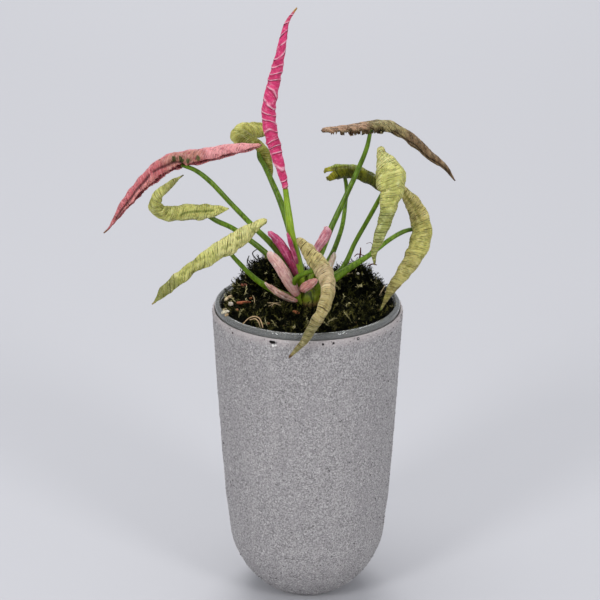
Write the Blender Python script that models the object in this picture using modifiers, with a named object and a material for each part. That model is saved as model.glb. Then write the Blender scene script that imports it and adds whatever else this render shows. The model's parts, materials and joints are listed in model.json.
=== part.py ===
"""Arrowhead plant with rolled, wrinkled leaves, growing in a sand-coated glass tumbler.

Sizes are millimetres. The pot stands on Z = 0 with its axis on Z, and the plant's points
are measured from the middle of the pot's rim, so POT_HEIGHT is added to their heights.
"""

import math

import bmesh
import bpy
import numpy as np
from mathutils import Vector

MM = 0.001
GAP = 0.3

# Pot: a tumbler with a proud glass lip and a rough coat of sand and cement
POT_HEIGHT = 139.0
COAT_TOP_DROP = 2.8
COAT_THICK = 1.1
GLASS_WALL = 1.9
GLASS_BASE = 6.0
LIP_PROUD = 0.3
LIP_ROUND = 1.0
COAT_EDGE_WIDTH = 0.9
BELLY_HEIGHT = 34.0
BELLY_RADIUS = 35.7
BELLY_DEPTH = 38.1
WALL_RADII = ((42.0, POT_HEIGHT - COAT_TOP_DROP), (40.3, 100.0), (38.6, 68.0), (37.2, 46.0))
BELLY_STEPS = 5
POT_STEPS = 36
SOIL_STEPS = 24

# Filling
SOIL_TOP = -9.0
MOSS_EDGE = -1.6
MOSS_RINGS = 10
MOSS_STEPS = 36
# Each mound: x, y, spread, height
MOSS_MOUNDS = ((-19.0, 18.0, 8.5, 14.0), (23.0, 13.0, 8.0, 12.5), (2.0, 20.0, 9.0, 4.0))
MOSS_ROUGHNESS = 0.7
MOSS_MIDDLE = 1.2
# Radians a millimetre, and how far the first ripple is bent by the second
MOSS_RIPPLES = (0.9, 0.55, 1.1, 0.3)
MOSS_RIPPLE_BEND = 1.3

# Plant: the buried stem and the crown that the leaf stalks grow from
CROWN_PLACE = (0.5, -4.0)
CROWN_PROFILE = (
    (0.0, 9.4), (1.9, 8.9), (3.5, 7.2), (4.6, 4.4), (5.2, 1.0),
    (5.2, -3.0), (4.4, -10.0), (3.0, -18.0), (1.4, -24.0), (0.0, -25.0),
)
CROWN_HOLE = 6.0
CROWN_HOLE_TOP = 30.0
CROWN_HOLE_FLOOR = -26.0
CROWN_STEPS = 20

# Blade
BLADE_THICK = 0.65
BLADE_ROWS = 20
BLADE_COLUMNS = 8
SHEATH_ROWS = 8
SHEATH_COLUMNS = 6
TIP_RADIUS = 1.1
FULL_ROLL_RADIUS = 2.0
WRINKLE = 0.05
WRINKLE_LENGTH = 7.5
WRINKLE_SLANT = 1.5
MIDRIB = 0.3
EDGE_WAVE = 0.05
EDGE_WAVE_LENGTH = 11.0
EDGE_WAVE_LAG = 2.0
CLEFT_SHARE = 0.1
PATH_STEPS = 12

# Stalk
STALK_SAMPLES = 12
STALK_TIP_RADIUS = 0.8
STALK_TIP_TAPER = 0.1

# Each leaf: route of the roll (x, y, z, half width), the side its open seam faces, half the
# angle it wraps, where along it the stalk joins, how far the seam turns, the cleft between
# its basal lobes, its colour, and the route of its stalk (x, y, z, radius).
LEAVES = {
    "spear": {
        "roll": (
            (-9.5, 2, 50, 1.2), (-11.5, 2, 59, 1.9), (-14, 2, 68.5, 2.6), (-16, 1, 77.5, 2.9),
            (-16.5, 0, 86.5, 2.9), (-14.5, -2, 97, 2.6), (-12, -4, 108, 2.1),
            (-9.5, -6, 120, 1.3), (-8, -7, 125.5, 0.8), (-4.5, -7, 130.5, 0.4),
        ),
        "seam": (0.3, 1, 0), "wrap": 160, "joint": 0.0, "turn": 40, "cleft": 0,
        "colour": "D94A7A",
        "stalk": (
            (-1.5, -3.5, 2, 1.6), (-3, -4, 9.5, 1.7), (-3.5, -4, 15.5, 1.7),
            (-5.5, -3.5, 23.5, 1.7), (-7, -2.5, 31, 1.7), (-8, -1, 38, 1.6), (-9, 1.5, 45.5, 1.3),
        ),
    },
    "folded": {
        "roll": (
            (-15.5, 14.5, 52, 0.6), (-16.5, 15.8, 57.9, 1.7), (-18.5, 17, 62.4, 2.3),
            (-21.5, 18, 65.6, 2.4), (-25.5, 18.8, 68.1, 2.9), (-29.2, 21, 69, 3.2),
            (-30, 26, 69.9, 3.4), (-27, 30.5, 70.3, 3.5), (-21.5, 33.5, 69.4, 3),
            (-17, 37, 67.5, 0.8),
        ),
        "seam": (-0.8, 0.35, -0.5), "wrap": 108, "joint": 0.33, "turn": 0, "cleft": 0,
        "colour": "BFC26B",
        "stalk": (
            (-0.5, -1.5, 2, 1.5), (-2.8, 1, 12.5, 1.7), (-5.8, 3.5, 24, 1.7), (-9, 5, 35.3, 1.6),
            (-12.1, 8, 43.5, 1.4), (-16.3, 12, 52.3, 1.2), (-19, 13.3, 57.8, 1.1),
            (-21, 14.5, 61, 1),
        ),
    },
    "brown": {
        "roll": (
            (6, 7, 75, 0.6), (14.5, 8, 75, 1.9), (21, 9.5, 75, 2.6), (27.5, 11.5, 75.5, 2.8),
            (34, 12, 75.5, 2.8), (39.5, 11, 73.5, 2.6), (46, 9, 69.5, 2.5), (52.5, 6.5, 64, 2.2),
            (58, 4, 60.5, 1.6), (61.5, 3, 57, 1), (63.5, 2, 54, 0.4),
        ),
        "seam": (0, -0.35, -0.94), "wrap": 130, "joint": 0.33, "turn": 0, "cleft": 0,
        "colour": "A58C6A",
        "stalk": (
            (1, -2.5, 2, 1.4), (1.5, -1, 12, 1.5), (6, 3, 21, 1.4), (10.5, 7, 31.5, 1.3),
            (16, 10, 43, 1.2), (21.5, 12, 55, 1.1), (25.5, 12, 65.5, 1),
        ),
    },
    "pink": {
        "roll": (
            (-20, 3, 69.5, 0.6), (-25.5, 4, 68.5, 1.7), (-33.5, 5, 67, 2.7), (-43, 6, 64.5, 3.2),
            (-52, 6, 63, 3.5), (-59, 5, 61.5, 3.8), (-65, 3, 58, 3.8), (-70.5, 0.5, 53.5, 3.1),
            (-75.5, -3, 48.5, 2.6), (-80, -7, 43.5, 1.8), (-83.5, -10, 38.5, 1.1),
            (-87, -12, 35, 0.4),
        ),
        "seam": (0, -0.5, -0.85), "wrap": 140, "joint": 0.39, "turn": 0, "cleft": 0,
        "colour": "E58D90",
        "stalk": (
            (-2.5, -2.5, 2, 1.5), (-5.5, -2, 9.5, 1.6), (-8.5, -3, 16, 1.6), (-14.5, -1, 25, 1.4),
            (-23.5, 1.5, 33.5, 1.2), (-33.5, 4, 43.5, 1.1), (-42, 5, 52, 1.1), (-47.3, 5, 56.6, 1.1),
        ),
    },
    "dark": {
        "roll": (
            (7.8, 20.5, 50.8, 3), (12.5, 21, 52.5, 3.2), (17.5, 22.5, 52.5, 3.1),
            (22.5, 24, 51.5, 3), (27, 25, 49, 2.8), (32, 25, 45.5, 2.4), (36, 24, 41.5, 1.6),
            (38.5, 23, 38.5, 0.5),
        ),
        "seam": (0, 0.85, -0.5), "wrap": 120, "joint": 0.24, "turn": 0, "cleft": 45,
        "colour": "6F7A28",
        "stalk": (
            (2, -2.5, 2, 1.2), (4.5, 0, 10.5, 1.3), (9.5, 5, 17, 1.2), (12.5, 10, 22, 1.1),
            (15.5, 16.5, 29.3, 1), (17, 22, 38.8, 0.9), (17.4, 24.5, 43.8, 0.9),
        ),
    },
    "broad": {
        "roll": (
            (31.5, 6, 67.5, 1.4), (32.5, 4, 64.5, 3.2), (34.5, 0, 61.5, 5.1),
            (36, -4, 58.5, 6.3), (36, -7, 55.5, 6.2), (36, -9.5, 52, 5.1), (35, -11.5, 48.5, 3.9),
            (34, -13, 44, 3.2), (32, -14.5, 38, 2.8), (30, -15.5, 32.5, 2.1), (28.5, -16, 27, 1.3),
            (28.5, -16, 22, 0.4),
        ),
        "seam": (-0.75, 0.65, -0.1), "wrap": 125, "joint": 0.47, "turn": 0, "cleft": 0,
        "colour": "C9CB78",
        "stalk": (
            (2.5, -4, 2, 1.2), (6.5, -3, 9.5, 1.3), (13.5, -2, 13.5, 1.3), (17, 0, 18, 1.1),
            (20.5, 1, 26, 1), (25.5, 0, 36, 1), (29, -3, 44, 1),
        ),
    },
    "right": {
        "roll": (
            (40.5, 9, 50.5, 0.7), (43, 8, 46.5, 2.4), (46, 6.5, 42.5, 3.6), (49, 3.5, 37, 4.3),
            (50, 0, 31.5, 4.6), (48.5, -4, 26, 4.4), (45, -8, 20.5, 3.8), (40.5, -11, 15, 3),
            (36, -13.5, 9.5, 2), (33.5, -15, 5, 1.1), (31, -16, 0.6, 0.4),
        ),
        "seam": (-0.9, 0.35, -0.2), "wrap": 130, "joint": 0.35, "turn": 0, "cleft": 0,
        "colour": "C0BE6C",
        "stalk": (
            (2, -5, 2, 1.5), (6, -6.5, 8.5, 1.7), (11, -6.5, 12, 1.7), (17.5, -5.5, 16.5, 1.5),
            (27, -4, 22.5, 1.1), (35.5, -1.5, 28.5, 1), (42, 1, 31.5, 1),
        ),
    },
    "hooked": {
        "roll": (
            (-33.5, -9, 45, 0.4), (-37, -8, 44.5, 1.6), (-41.5, -7, 43.5, 2.8),
            (-47, -6, 43, 3.4), (-53, -7, 43, 3.3), (-59, -8.3, 43, 3.2), (-62.6, -10, 44.5, 3),
            (-64.2, -12.3, 47.3, 2.7), (-64, -13.8, 50.5, 2.4), (-62.3, -14.2, 53.2, 2.1),
            (-59.2, -13, 55.8, 1.8), (-55.9, -11, 57.9, 1.3), (-52.6, -9, 60, 0.4),
        ),
        "seam": (0.1, 0.5, -0.85), "wrap": 130, "joint": 0.2, "turn": 0, "cleft": 0,
        "colour": "B9BC6A",
        "stalk": (
            (-3, -5.5, 2, 1.2), (-6.5, -6, 9.5, 1.3), (-11, -5.8, 16.5, 1.3), (-18, -5, 23.5, 1.3),
            (-25, -5, 29.5, 1.2), (-32.5, -5, 35, 1.1), (-39, -4.5, 38, 1.1),
        ),
    },
    "lower": {
        "roll": (
            (-17.5, -16, 42.3, 0.6), (-21.5, -17, 40.5, 1.8), (-26, -18.5, 37.8, 3.1),
            (-30.5, -20.5, 35, 3.8), (-35.5, -23, 32.5, 3.8), (-42, -26, 29, 3.3),
            (-48.5, -29.5, 25.5, 2.7), (-54.5, -33, 21.5, 2.6), (-59.5, -35, 17.5, 2.3),
            (-63, -36.5, 14, 1.3), (-65, -37, 12, 0.4),
        ),
        "seam": (0.2, 0.5, -0.85), "wrap": 130, "joint": 0.3, "turn": 50, "cleft": 0,
        "colour": "C3C573",
        "stalk": (
            (-1.5, -5.5, 0, 1.2), (-5, -7.5, 3.5, 1.3), (-12, -10, 7, 1.5), (-19, -13, 12, 1.3),
            (-24, -15.5, 17, 1.1), (-29.5, -18.8, 24, 1), (-32, -20.3, 26.6, 1),
        ),
    },
    "front": {
        "roll": (
            (-4.5, -8.5, 31.5, 0.6), (-1.5, -11, 29.5, 2.2), (2, -16, 26.5, 3.3),
            (6.5, -23, 23, 3.8), (8.5, -32, 20, 3.2), (8, -40, 16.5, 2.8), (5.5, -44.5, 11, 2.5),
            (2, -46, 5.5, 2.1), (-1.5, -47, -0.5, 1.6), (-5.5, -47, -5, 0.9), (-8, -47, -8, 0.4),
        ),
        "seam": (-0.7, 0.6, -0.3), "wrap": 130, "joint": 0.28, "turn": 0, "cleft": 0,
        "colour": "A9A268",
        "stalk": (
            (-3, -6.5, 0, 1.4), (-5.3, -8.3, 6, 1.5), (-6.2, -9, 9.5, 1.4), (-5.5, -10.5, 13, 1.3),
            (-2.5, -13, 16.5, 1.2), (1.5, -17, 19.5, 1.1),
        ),
    },
}

# The thin papery sheaths round the stalks' bases, open to the side they name
SHEATHS = {
    "magenta": {
        "roll": ((-4, -5, 13, 1.7), (-7.5, -4.8, 20.4, 2), (-10, -4.2, 25, 2),
                 (-13.4, -3.7, 29.5, 1.8), (-16.8, -3.5, 33, 0.9)),
        "seam": (-0.3, 1, -0.2), "colour": "C5487E",
    },
    "broad": {
        "roll": ((-4.5, -9, 5, 2), (-8, -10, 11.5, 2.6), (-12, -11, 19, 2.6),
                 (-15.5, -11, 24, 2.1), (-17, -11, 26.5, 0.9)),
        "seam": (0.2, 1, 0.1), "colour": "C99A9B",
    },
    "low": {
        "roll": ((-4.5, -9.3, 2.6, 1.3), (-9, -11.5, 5.2, 1.9), (-13, -14, 8.4, 1.9),
                 (-16.5, -15.5, 12, 1.4), (-18.5, -16.5, 14.2, 0.6)),
        "seam": (0.2, 0.6, 0.7), "colour": "B98F84",
    },
    "right": {
        "roll": ((2.2, -1.5, 16.8, 1.3), (2.9, -0.6, 21.4, 1.6), (4.7, 0.6, 25.1, 1.9),
                 (6.7, 1.2, 28, 2.2), (8.2, 1.5, 30.8, 2.2), (8.8, 1.5, 33.4, 1.3)),
        "seam": (0.4, 1, -0.1), "colour": "CC6E8C",
    },
    "pale": {
        "roll": ((8.5, 0, 11.5, 1.1), (10.5, 3, 16, 1.4), (11.5, 4.5, 18.5, 1.3), (11.5, 5, 20.5, 0.7)),
        "seam": (-0.4, 1, -0.1), "colour": "D3C0A4",
    },
    "thin": {
        "roll": ((-4.6, -6.6, 19, 1), (-6.6, -6.1, 25.5, 1.1), (-8.2, -5.4, 30.5, 0.9),
                 (-8.8, -5.2, 33, 0.6)),
        "seam": (0.3, 1, 0), "colour": "C2557F",
    },
    "front": {
        "roll": ((-2.5, -10.6, 7.8, 1.6), (-0.9, -11.9, 10, 2.2), (1.5, -12.7, 12, 2),
                 (4.2, -13, 14.6, 0.8)),
        "seam": (0.2, 0.8, 0.5), "colour": "D59AA0",
    },
}

# Loose bits on the moss: place, half sizes, turn about Z in degrees
BITS = {
    "bark_chip_left": {"place": (-28, -8, 0.6), "half": (2.7, 0.9, 0.6), "turn": 12, "colour": "B5643A"},
    "bark_chip_front": {"place": (-5, -19, 0.2), "half": (2.0, 0.9, 0.6), "turn": -40, "colour": "A8673F"},
    "pale_grain": {"place": (-33, -9, 0.4), "half": (1.1, 1.1, 1.0), "turn": 0, "colour": "D8D2C2"},
}

PLANT_GREEN = "4F7A2A"
SPEAR_GREEN = "8FAF2E"


def clear_scene():
    for obj in list(bpy.data.objects):
        bpy.data.objects.remove(obj, do_unlink=True)


def new_collection(name):
    collection = bpy.data.collections.new(name)
    bpy.context.scene.collection.children.link(collection)
    return collection


def linear(hex_colour):
    """An sRGB hex colour as linear RGBA."""
    parts = [int(hex_colour[i:i + 2], 16) / 255 for i in (0, 2, 4)]
    return [c / 12.92 if c <= 0.04045 else ((c + 0.055) / 1.055) ** 2.4 for c in parts] + [1.0]


def make_material(name, hex_colour, roughness, transmission=0.0):
    material = bpy.data.materials.get(name) or bpy.data.materials.new(name)
    material.use_nodes = True
    surface = material.node_tree.nodes["Principled BSDF"]
    surface.inputs["Base Color"].default_value = linear(hex_colour)
    surface.inputs["Roughness"].default_value = roughness
    surface.inputs["Metallic"].default_value = 0.0
    surface.inputs["Transmission Weight"].default_value = transmission
    return material


def add_object(name, mesh, collection, material=None):
    obj = bpy.data.objects.new(name, mesh)
    collection.objects.link(obj)
    if material:
        mesh.materials.clear()
        mesh.materials.append(material)
    return obj


def above_rim(point):
    """A point measured from the rim's middle in millimetres, as a world vector in metres."""
    return Vector((point[0], point[1], point[2] + POT_HEIGHT)) * MM


def applied_mesh(obj):
    """The object's mesh with its modifiers applied, with doubles merged."""
    bpy.context.view_layer.update()
    graph = bpy.context.evaluated_depsgraph_get()
    mesh = bpy.data.meshes.new_from_object(obj.evaluated_get(graph))
    bm = bmesh.new()
    bm.from_mesh(mesh)
    bmesh.ops.remove_doubles(bm, verts=bm.verts, dist=1e-7)
    bm.to_mesh(mesh)
    bm.free()
    return mesh


def apply_modifiers(obj):
    mesh = applied_mesh(obj)
    obj.modifiers.clear()
    obj.data = mesh


def turned(name, profile, collection, material=None, steps=POT_STEPS, closed=False):
    """A body of revolution from a profile of (radius, height) in millimetres."""
    bm = bmesh.new()
    verts = [bm.verts.new((r * MM, 0, z * MM)) for r, z in profile]
    for a, b in zip(verts, verts[1:]):
        bm.edges.new((a, b))
    if closed:
        bm.edges.new((verts[-1], verts[0]))
    mesh = bpy.data.meshes.new(name)
    bm.to_mesh(mesh)
    bm.free()
    obj = add_object(name, mesh, collection, material)
    screw = obj.modifiers.new("turn", "SCREW")
    screw.steps = screw.render_steps = steps
    screw.use_merge_vertices = True
    screw.merge_threshold = 1e-6
    screw.use_smooth_shade = True
    return obj


def keep_largest_body(obj):
    """Drops the loose scraps that a Boolean can leave."""
    bm = bmesh.new()
    bm.from_mesh(obj.data)
    left = set(bm.verts)
    bodies = []
    while left:
        stack = [left.pop()]
        body = set(stack)
        while stack:
            for edge in stack.pop().link_edges:
                for vert in edge.verts:
                    if vert in left:
                        left.discard(vert)
                        body.add(vert)
                        stack.append(vert)
        bodies.append(body)
    areas = [sum(f.calc_area() for f in {f for v in body for f in v.link_faces}) for body in bodies]
    keep = bodies[areas.index(max(areas))]
    bmesh.ops.delete(bm, geom=[v for v in bm.verts if v not in keep], context="VERTS")
    bm.to_mesh(obj.data)
    bm.free()


def press_against(obj, cutters, solver="EXACT"):
    """Flattens a piece where it lies against others, leaving the gap that their cutters hold."""
    for cutter in cutters:
        boolean = obj.modifiers.new("press", "BOOLEAN")
        boolean.operation = "DIFFERENCE"
        boolean.object = cutter
        boolean.solver = solver
    if cutters:
        apply_modifiers(obj)
        keep_largest_body(obj)


def smooth_path(points, count):
    """Samples at equal distances along a smooth curve through the points."""
    given = np.array(points, float)
    ends = np.vstack([2 * given[0] - given[1], given, 2 * given[-1] - given[-2]])
    dense = []
    for a, b, c, d in zip(ends, ends[1:], ends[2:], ends[3:]):
        for t in np.linspace(0, 1, PATH_STEPS, endpoint=False):
            bend = (2 * a - 5 * b + 4 * c - d) * t * t + (3 * b - a - 3 * c + d) * t ** 3
            dense.append(0.5 * (2 * b + (c - a) * t + bend))
    dense = np.array(dense + [given[-1]])
    along = np.concatenate([[0], np.cumsum(np.linalg.norm(np.diff(dense[:, :3], axis=0), axis=1))])
    at = np.linspace(0, along[-1], count + 1)
    return np.column_stack([np.interp(at, along, column) for column in dense.T]), along[-1]


def unit(vector):
    return vector / np.linalg.norm(vector)


class Roll:
    """The frames of a rolled blade: its axis, radius and wrap at each row."""

    def __init__(self, rows, seam, wrap, turn, count):
        path, self.length = smooth_path(rows, count)
        self.centre = path[:, :3]
        half_width = path[:, 3]
        self.tangent = np.array([unit(v) for v in np.gradient(self.centre, axis=0)])
        self.seam = []
        side = np.array(seam, float)
        for tangent in self.tangent:
            side = unit(side - tangent * side.dot(tangent))
            self.seam.append(side)
        self.seam = np.array(self.seam)
        for i, tangent in enumerate(self.tangent):
            angle = math.radians(turn) * i / count
            across = np.cross(tangent, self.seam[i])
            self.seam[i] = self.seam[i] * math.cos(angle) + across * math.sin(angle)
        self.across = np.cross(self.tangent, self.seam)
        self.radius = np.maximum(half_width, TIP_RADIUS)
        filled = np.clip((half_width - TIP_RADIUS) / (FULL_ROLL_RADIUS - TIP_RADIUS), 0, 1)
        rolled = 90 + (wrap - 90) * filled
        strip = np.degrees(np.arcsin(np.clip(half_width / TIP_RADIUS, 0, 1)))
        self.wrap = np.radians(np.where(half_width < TIP_RADIUS, strip, rolled))
        # A narrow strip is a shallow arc, so its middle is brought back onto the axis
        self.shift = self.radius * (1 + np.cos(self.wrap)) / 2

    def point(self, row, angle, extra=0.0):
        radius = self.radius[row] + extra
        inward = self.seam[row] * (self.shift[row] - radius * math.cos(angle))
        return self.centre[row] + inward + self.across[row] * radius * math.sin(angle)


def rolled_blade(name, leaf, collection, material, rows=BLADE_ROWS, columns=BLADE_COLUMNS):
    """A thin blade rolled round its axis, with wrinkles, a midrib and waved edges."""
    roll = Roll(leaf["roll"], leaf["seam"], leaf["wrap"], leaf["turn"], rows)
    cleft_rows = round(CLEFT_SHARE * rows) if leaf["cleft"] else 0
    bm = bmesh.new()
    bmesh.ops.create_grid(bm, x_segments=rows, y_segments=columns, size=0.5)
    if cleft_rows:
        middle = [
            e for e in bm.edges
            if all(abs(v.co.y) < 1e-6 and round((v.co.x + 0.5) * rows) <= cleft_rows for v in e.verts)
        ]
        bmesh.ops.split_edges(bm, edges=middle)
    places = {}
    for vert in bm.verts:
        row = round((vert.co.x + 0.5) * rows)
        share = vert.co.y * 2
        cleft = 0.0
        if row < cleft_rows:
            opened = math.radians(leaf["cleft"]) * (1 - row / cleft_rows)
            side = sum(f.calc_center_median().y for f in vert.link_faces)
            cleft = math.copysign(opened, share if abs(share) > 1e-6 else side)
        distance = roll.length * row / rows
        phase = 2 * math.pi * distance / EDGE_WAVE_LENGTH + EDGE_WAVE_LAG * share
        whole = roll.wrap[row] * (1 + EDGE_WAVE * abs(share) * math.sin(phase))
        angle = cleft + share * (whole - abs(cleft))
        fold = math.sin(2 * math.pi * distance / WRINKLE_LENGTH + WRINKLE_SLANT * angle)
        extra = WRINKLE * roll.radius[row] * fold + (MIDRIB if abs(share) < 1e-6 else 0)
        places[vert] = roll.point(row, angle, extra)
    for vert, place in places.items():
        vert.co = above_rim(place)
    mesh = bpy.data.meshes.new(name)
    bm.to_mesh(mesh)
    bm.free()
    mesh.shade_smooth()
    obj = add_object(name, mesh, collection, material)
    obj.modifiers.new("split", "TRIANGULATE")
    thick = obj.modifiers.new("thick", "SOLIDIFY")
    thick.thickness = BLADE_THICK * MM
    thick.offset = -1
    return obj, roll


def tube(name, route, samples, collection, material=None, grow=0.0):
    """A tapering stalk along a route of (x, y, z, radius)."""
    path, _ = smooth_path(route, samples)
    curve = bpy.data.curves.new(name, "CURVE")
    curve.dimensions = "3D"
    curve.bevel_depth = MM
    curve.bevel_resolution = 2
    curve.render_resolution_u = 0
    curve.use_fill_caps = True
    spline = curve.splines.new("POLY")
    spline.points.add(len(path) - 1)
    for point, row in zip(spline.points, path):
        point.co = (*above_rim(row[:3]), 1)
        point.radius = row[3] + grow
    guide = add_object(name + "_guide", curve, collection)
    mesh = applied_mesh(guide)
    mesh.name = name
    mesh.shade_smooth()
    bpy.data.objects.remove(guide)
    return add_object(name, mesh, collection, material)


def pot_outline(inset):
    """The coat's outer side, set in by a distance, from its top edge down to its foot."""
    outline = [(r - inset, z) for r, z in WALL_RADII]
    # The foot's angle on the belly's ellipse
    last = math.asin(BELLY_HEIGHT / BELLY_DEPTH)
    for i in range(BELLY_STEPS + 1):
        angle = last * i / BELLY_STEPS
        radius = BELLY_RADIUS * math.cos(angle) - inset * math.cos(angle)
        height = BELLY_HEIGHT - (BELLY_DEPTH - inset) * math.sin(angle)
        outline.append((radius, height))
    return outline


def on_level(outline, height):
    """An outline whose foot is brought down to a level."""
    return outline[:-1] + [(outline[-1][0], height)]


def build_pot(parts):
    """The coat and the tumbler in it, and the tumbler's inside outline from its floor up."""
    outer = on_level(pot_outline(0), 0.0)
    inner = on_level(pot_outline(COAT_THICK), COAT_THICK)
    top_r, top_z = outer[0]
    # A hair over the outer corner, so that the edge sheds water outward
    edge = (top_r - COAT_EDGE_WIDTH, top_z + COAT_EDGE_WIDTH / 18)
    coat = [(0, COAT_THICK)] + inner[::-1] + [edge] + outer + [(0, 0)]
    turned("sand_coat", coat, parts, make_material("sand_and_cement", "A7A4A5", 0.95))

    under = COAT_THICK + GAP
    skin = on_level(pot_outline(under), under)
    wall = pot_outline(under + GLASS_WALL)
    lip_r = skin[0][0] + LIP_PROUD
    bore_r = lip_r - GLASS_WALL
    shoulder = POT_HEIGHT - LIP_ROUND
    crest = POT_HEIGHT - LIP_ROUND / 4
    lip = [
        (bore_r, shoulder), (bore_r + LIP_PROUD, crest), ((bore_r + lip_r) / 2, POT_HEIGHT),
        (lip_r - LIP_PROUD, crest), (lip_r, shoulder), (lip_r, top_z + GAP + 0.2),
    ]
    bore = [(0, GLASS_BASE)] + [p for p in wall[::-1] if p[1] > GLASS_BASE + LIP_ROUND]
    glass = bore + lip + skin + [(0, under)]
    turned("glass_tumbler", glass, parts, make_material("clear_glass", "E6EAEA", 0.03, 1.0))
    return bore


def bore_radius(bore, height):
    """The tumbler's inside radius at a height over the floor."""
    heights = [p[1] for p in bore[1:]]
    return float(np.interp(height, heights, [p[0] for p in bore[1:]]))


def build_soil(parts, cutters, bore):
    top = POT_HEIGHT + SOIL_TOP
    side = [(r - GAP, z) for r, z in bore[1:] if z < top - 4][::-1]
    profile = [(0, top), (bore_radius(bore, top) - GAP, top)] + side + [(0, bore[0][1] + GAP)]
    soil = turned("soil_fill", profile, parts, make_material("peat_soil", "2A211A", 1.0), SOIL_STEPS)
    apply_modifiers(soil)
    press_against(soil, [stem_hole(cutters)])


def stem_hole(cutters):
    """A plain round hole for the crown, down into the soil."""
    profile = (
        (0, CROWN_HOLE_TOP), (CROWN_HOLE, CROWN_HOLE_TOP),
        (CROWN_HOLE, CROWN_HOLE_FLOOR), (0, CROWN_HOLE_FLOOR),
    )
    hole = turned("stem_hole", [(r, z + POT_HEIGHT) for r, z in profile], cutters)
    hole.location = (CROWN_PLACE[0] * MM, CROWN_PLACE[1] * MM, 0)
    hole.hide_render = True
    hole.display_type = "WIRE"
    return hole


def moss_height(x, y, rim_radius):
    """How high the moss stands over the rim: mounds and a rough surface, sinking to the wall."""
    height = 0.0
    for mx, my, spread, rise in MOSS_MOUNDS:
        height += rise * math.exp(-((x - mx) ** 2 + (y - my) ** 2) / (2 * spread ** 2))
    first, second, third, fourth = MOSS_RIPPLES
    bent = x * first + MOSS_RIPPLE_BEND * math.sin(y * second)
    height += MOSS_ROUGHNESS * (math.sin(bent) + math.cos(y * third + x * fourth))
    inside = 1 - (math.hypot(x, y) / rim_radius) ** 6
    return MOSS_EDGE + (height + MOSS_MIDDLE) * max(inside, 0)


def build_moss(parts, cutters, bore, bits):
    rim = bore_radius(bore, POT_HEIGHT + MOSS_EDGE) - GAP
    low = POT_HEIGHT + SOIL_TOP + GAP
    low_r = bore_radius(bore, low) - GAP
    top = POT_HEIGHT + MOSS_EDGE
    rings = [(rim * i / MOSS_RINGS, top) for i in range(MOSS_RINGS + 1)]
    moss = turned("moss_cushion", rings + [(low_r, low), (0, low)], parts,
                  make_material("sheet_moss", "2E3418", 1.0), steps=MOSS_STEPS)
    apply_modifiers(moss)
    for vert in moss.data.vertices:
        if vert.co.z > (top - 0.5) * MM:
            vert.co.z = (POT_HEIGHT + moss_height(vert.co.x / MM, vert.co.y / MM, rim)) * MM
    seats = [make_bit(name, bit, cutters, None, GAP) for name, bit in bits.items()]
    press_against(moss, [stem_hole(cutters)] + seats)
    return moss


def make_bit(name, bit, collection, material, grow):
    """A small worn chip or grain."""
    bm = bmesh.new()
    bmesh.ops.create_icosphere(bm, subdivisions=1, radius=1)
    half = [h + grow for h in bit["half"]]
    angle = math.radians(bit["turn"])
    for vert in bm.verts:
        x, y, z = (c * h for c, h in zip(vert.co, half))
        across = (x * math.cos(angle) - y * math.sin(angle), x * math.sin(angle) + y * math.cos(angle))
        vert.co = above_rim((across[0] + bit["place"][0], across[1] + bit["place"][1], z + bit["place"][2]))
    mesh = bpy.data.meshes.new(name)
    bm.to_mesh(mesh)
    bm.free()
    return add_object(name if material else name + "_seat", mesh, collection, material)


def make_crown(name, collection, material, grow):
    profile = [(r + (grow if r else 0), z + POT_HEIGHT) for r, z in CROWN_PROFILE]
    profile[0] = (0, profile[0][1] + grow)
    profile[-1] = (0, profile[-1][1] - grow)
    crown = turned(name, profile, collection, material, steps=CROWN_STEPS)
    crown.location = (CROWN_PLACE[0] * MM, CROWN_PLACE[1] * MM, 0)
    return crown


def stalk_route(leaf, roll):
    """The stalk's route, run on through the blade's open seam to just short of its midrib."""
    route = list(leaf["stalk"])
    if leaf["joint"] == 0:
        end = roll.centre[0] - roll.tangent[0] * GAP
        return route + [(*end, leaf["roll"][0][3])]
    row = round(leaf["joint"] * BLADE_ROWS)
    inner = (roll.radius[row] - BLADE_THICK) * (1 - WRINKLE)
    reach = math.sqrt(max(inner ** 2 - STALK_TIP_RADIUS ** 2, 0)) - GAP - STALK_TIP_TAPER
    axis = roll.centre[row] + roll.seam[row] * roll.shift[row]
    entry = axis + roll.seam[row] * roll.radius[row]
    end = axis - roll.seam[row] * reach
    return route + [(*entry, STALK_TIP_RADIUS + STALK_TIP_TAPER), (*end, STALK_TIP_RADIUS)]


def build_plant(parts, cutters):
    green = make_material("leaf_stalk", PLANT_GREEN, 0.45)
    make_crown("crown_stem", parts, green, 0.0)
    around = [make_crown("crown_cutter", cutters, None, GAP)]
    for name, leaf in LEAVES.items():
        finish = make_material("blade_" + name, leaf["colour"], 0.55)
        _, roll = rolled_blade("blade_" + name, leaf, parts, finish)
        route = stalk_route(leaf, roll)
        stalk_finish = make_material("spear_stalk", SPEAR_GREEN, 0.45) if name == "spear" else green
        stalk = tube("stalk_" + name, route, STALK_SAMPLES, parts, stalk_finish)
        press_against(stalk, around)
        around.append(tube("stalk_cutter_" + name, route, STALK_SAMPLES, cutters, None, GAP))
    for name, sheath in SHEATHS.items():
        finish = make_material("sheath_" + name, sheath["colour"], 0.6)
        shape = {"wrap": 100, "turn": 0, "joint": 0, "cleft": 0, **sheath}
        piece, _ = rolled_blade("sheath_" + name, shape, parts, finish, SHEATH_ROWS, SHEATH_COLUMNS)
        apply_modifiers(piece)
        press_against(piece, around, "MANIFOLD")


def main():
    clear_scene()
    parts = new_collection("arrowhead_plant")
    cutters = new_collection("cutters")
    bore = build_pot(parts)
    build_soil(parts, cutters, bore)
    for name, bit in BITS.items():
        make_bit(name, bit, parts, make_material(name, bit["colour"], 0.9), 0.0)
    build_moss(parts, cutters, bore, BITS)
    build_plant(parts, cutters)
    for cutter in list(cutters.objects):
        bpy.data.objects.remove(cutter, do_unlink=True)


main()
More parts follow.
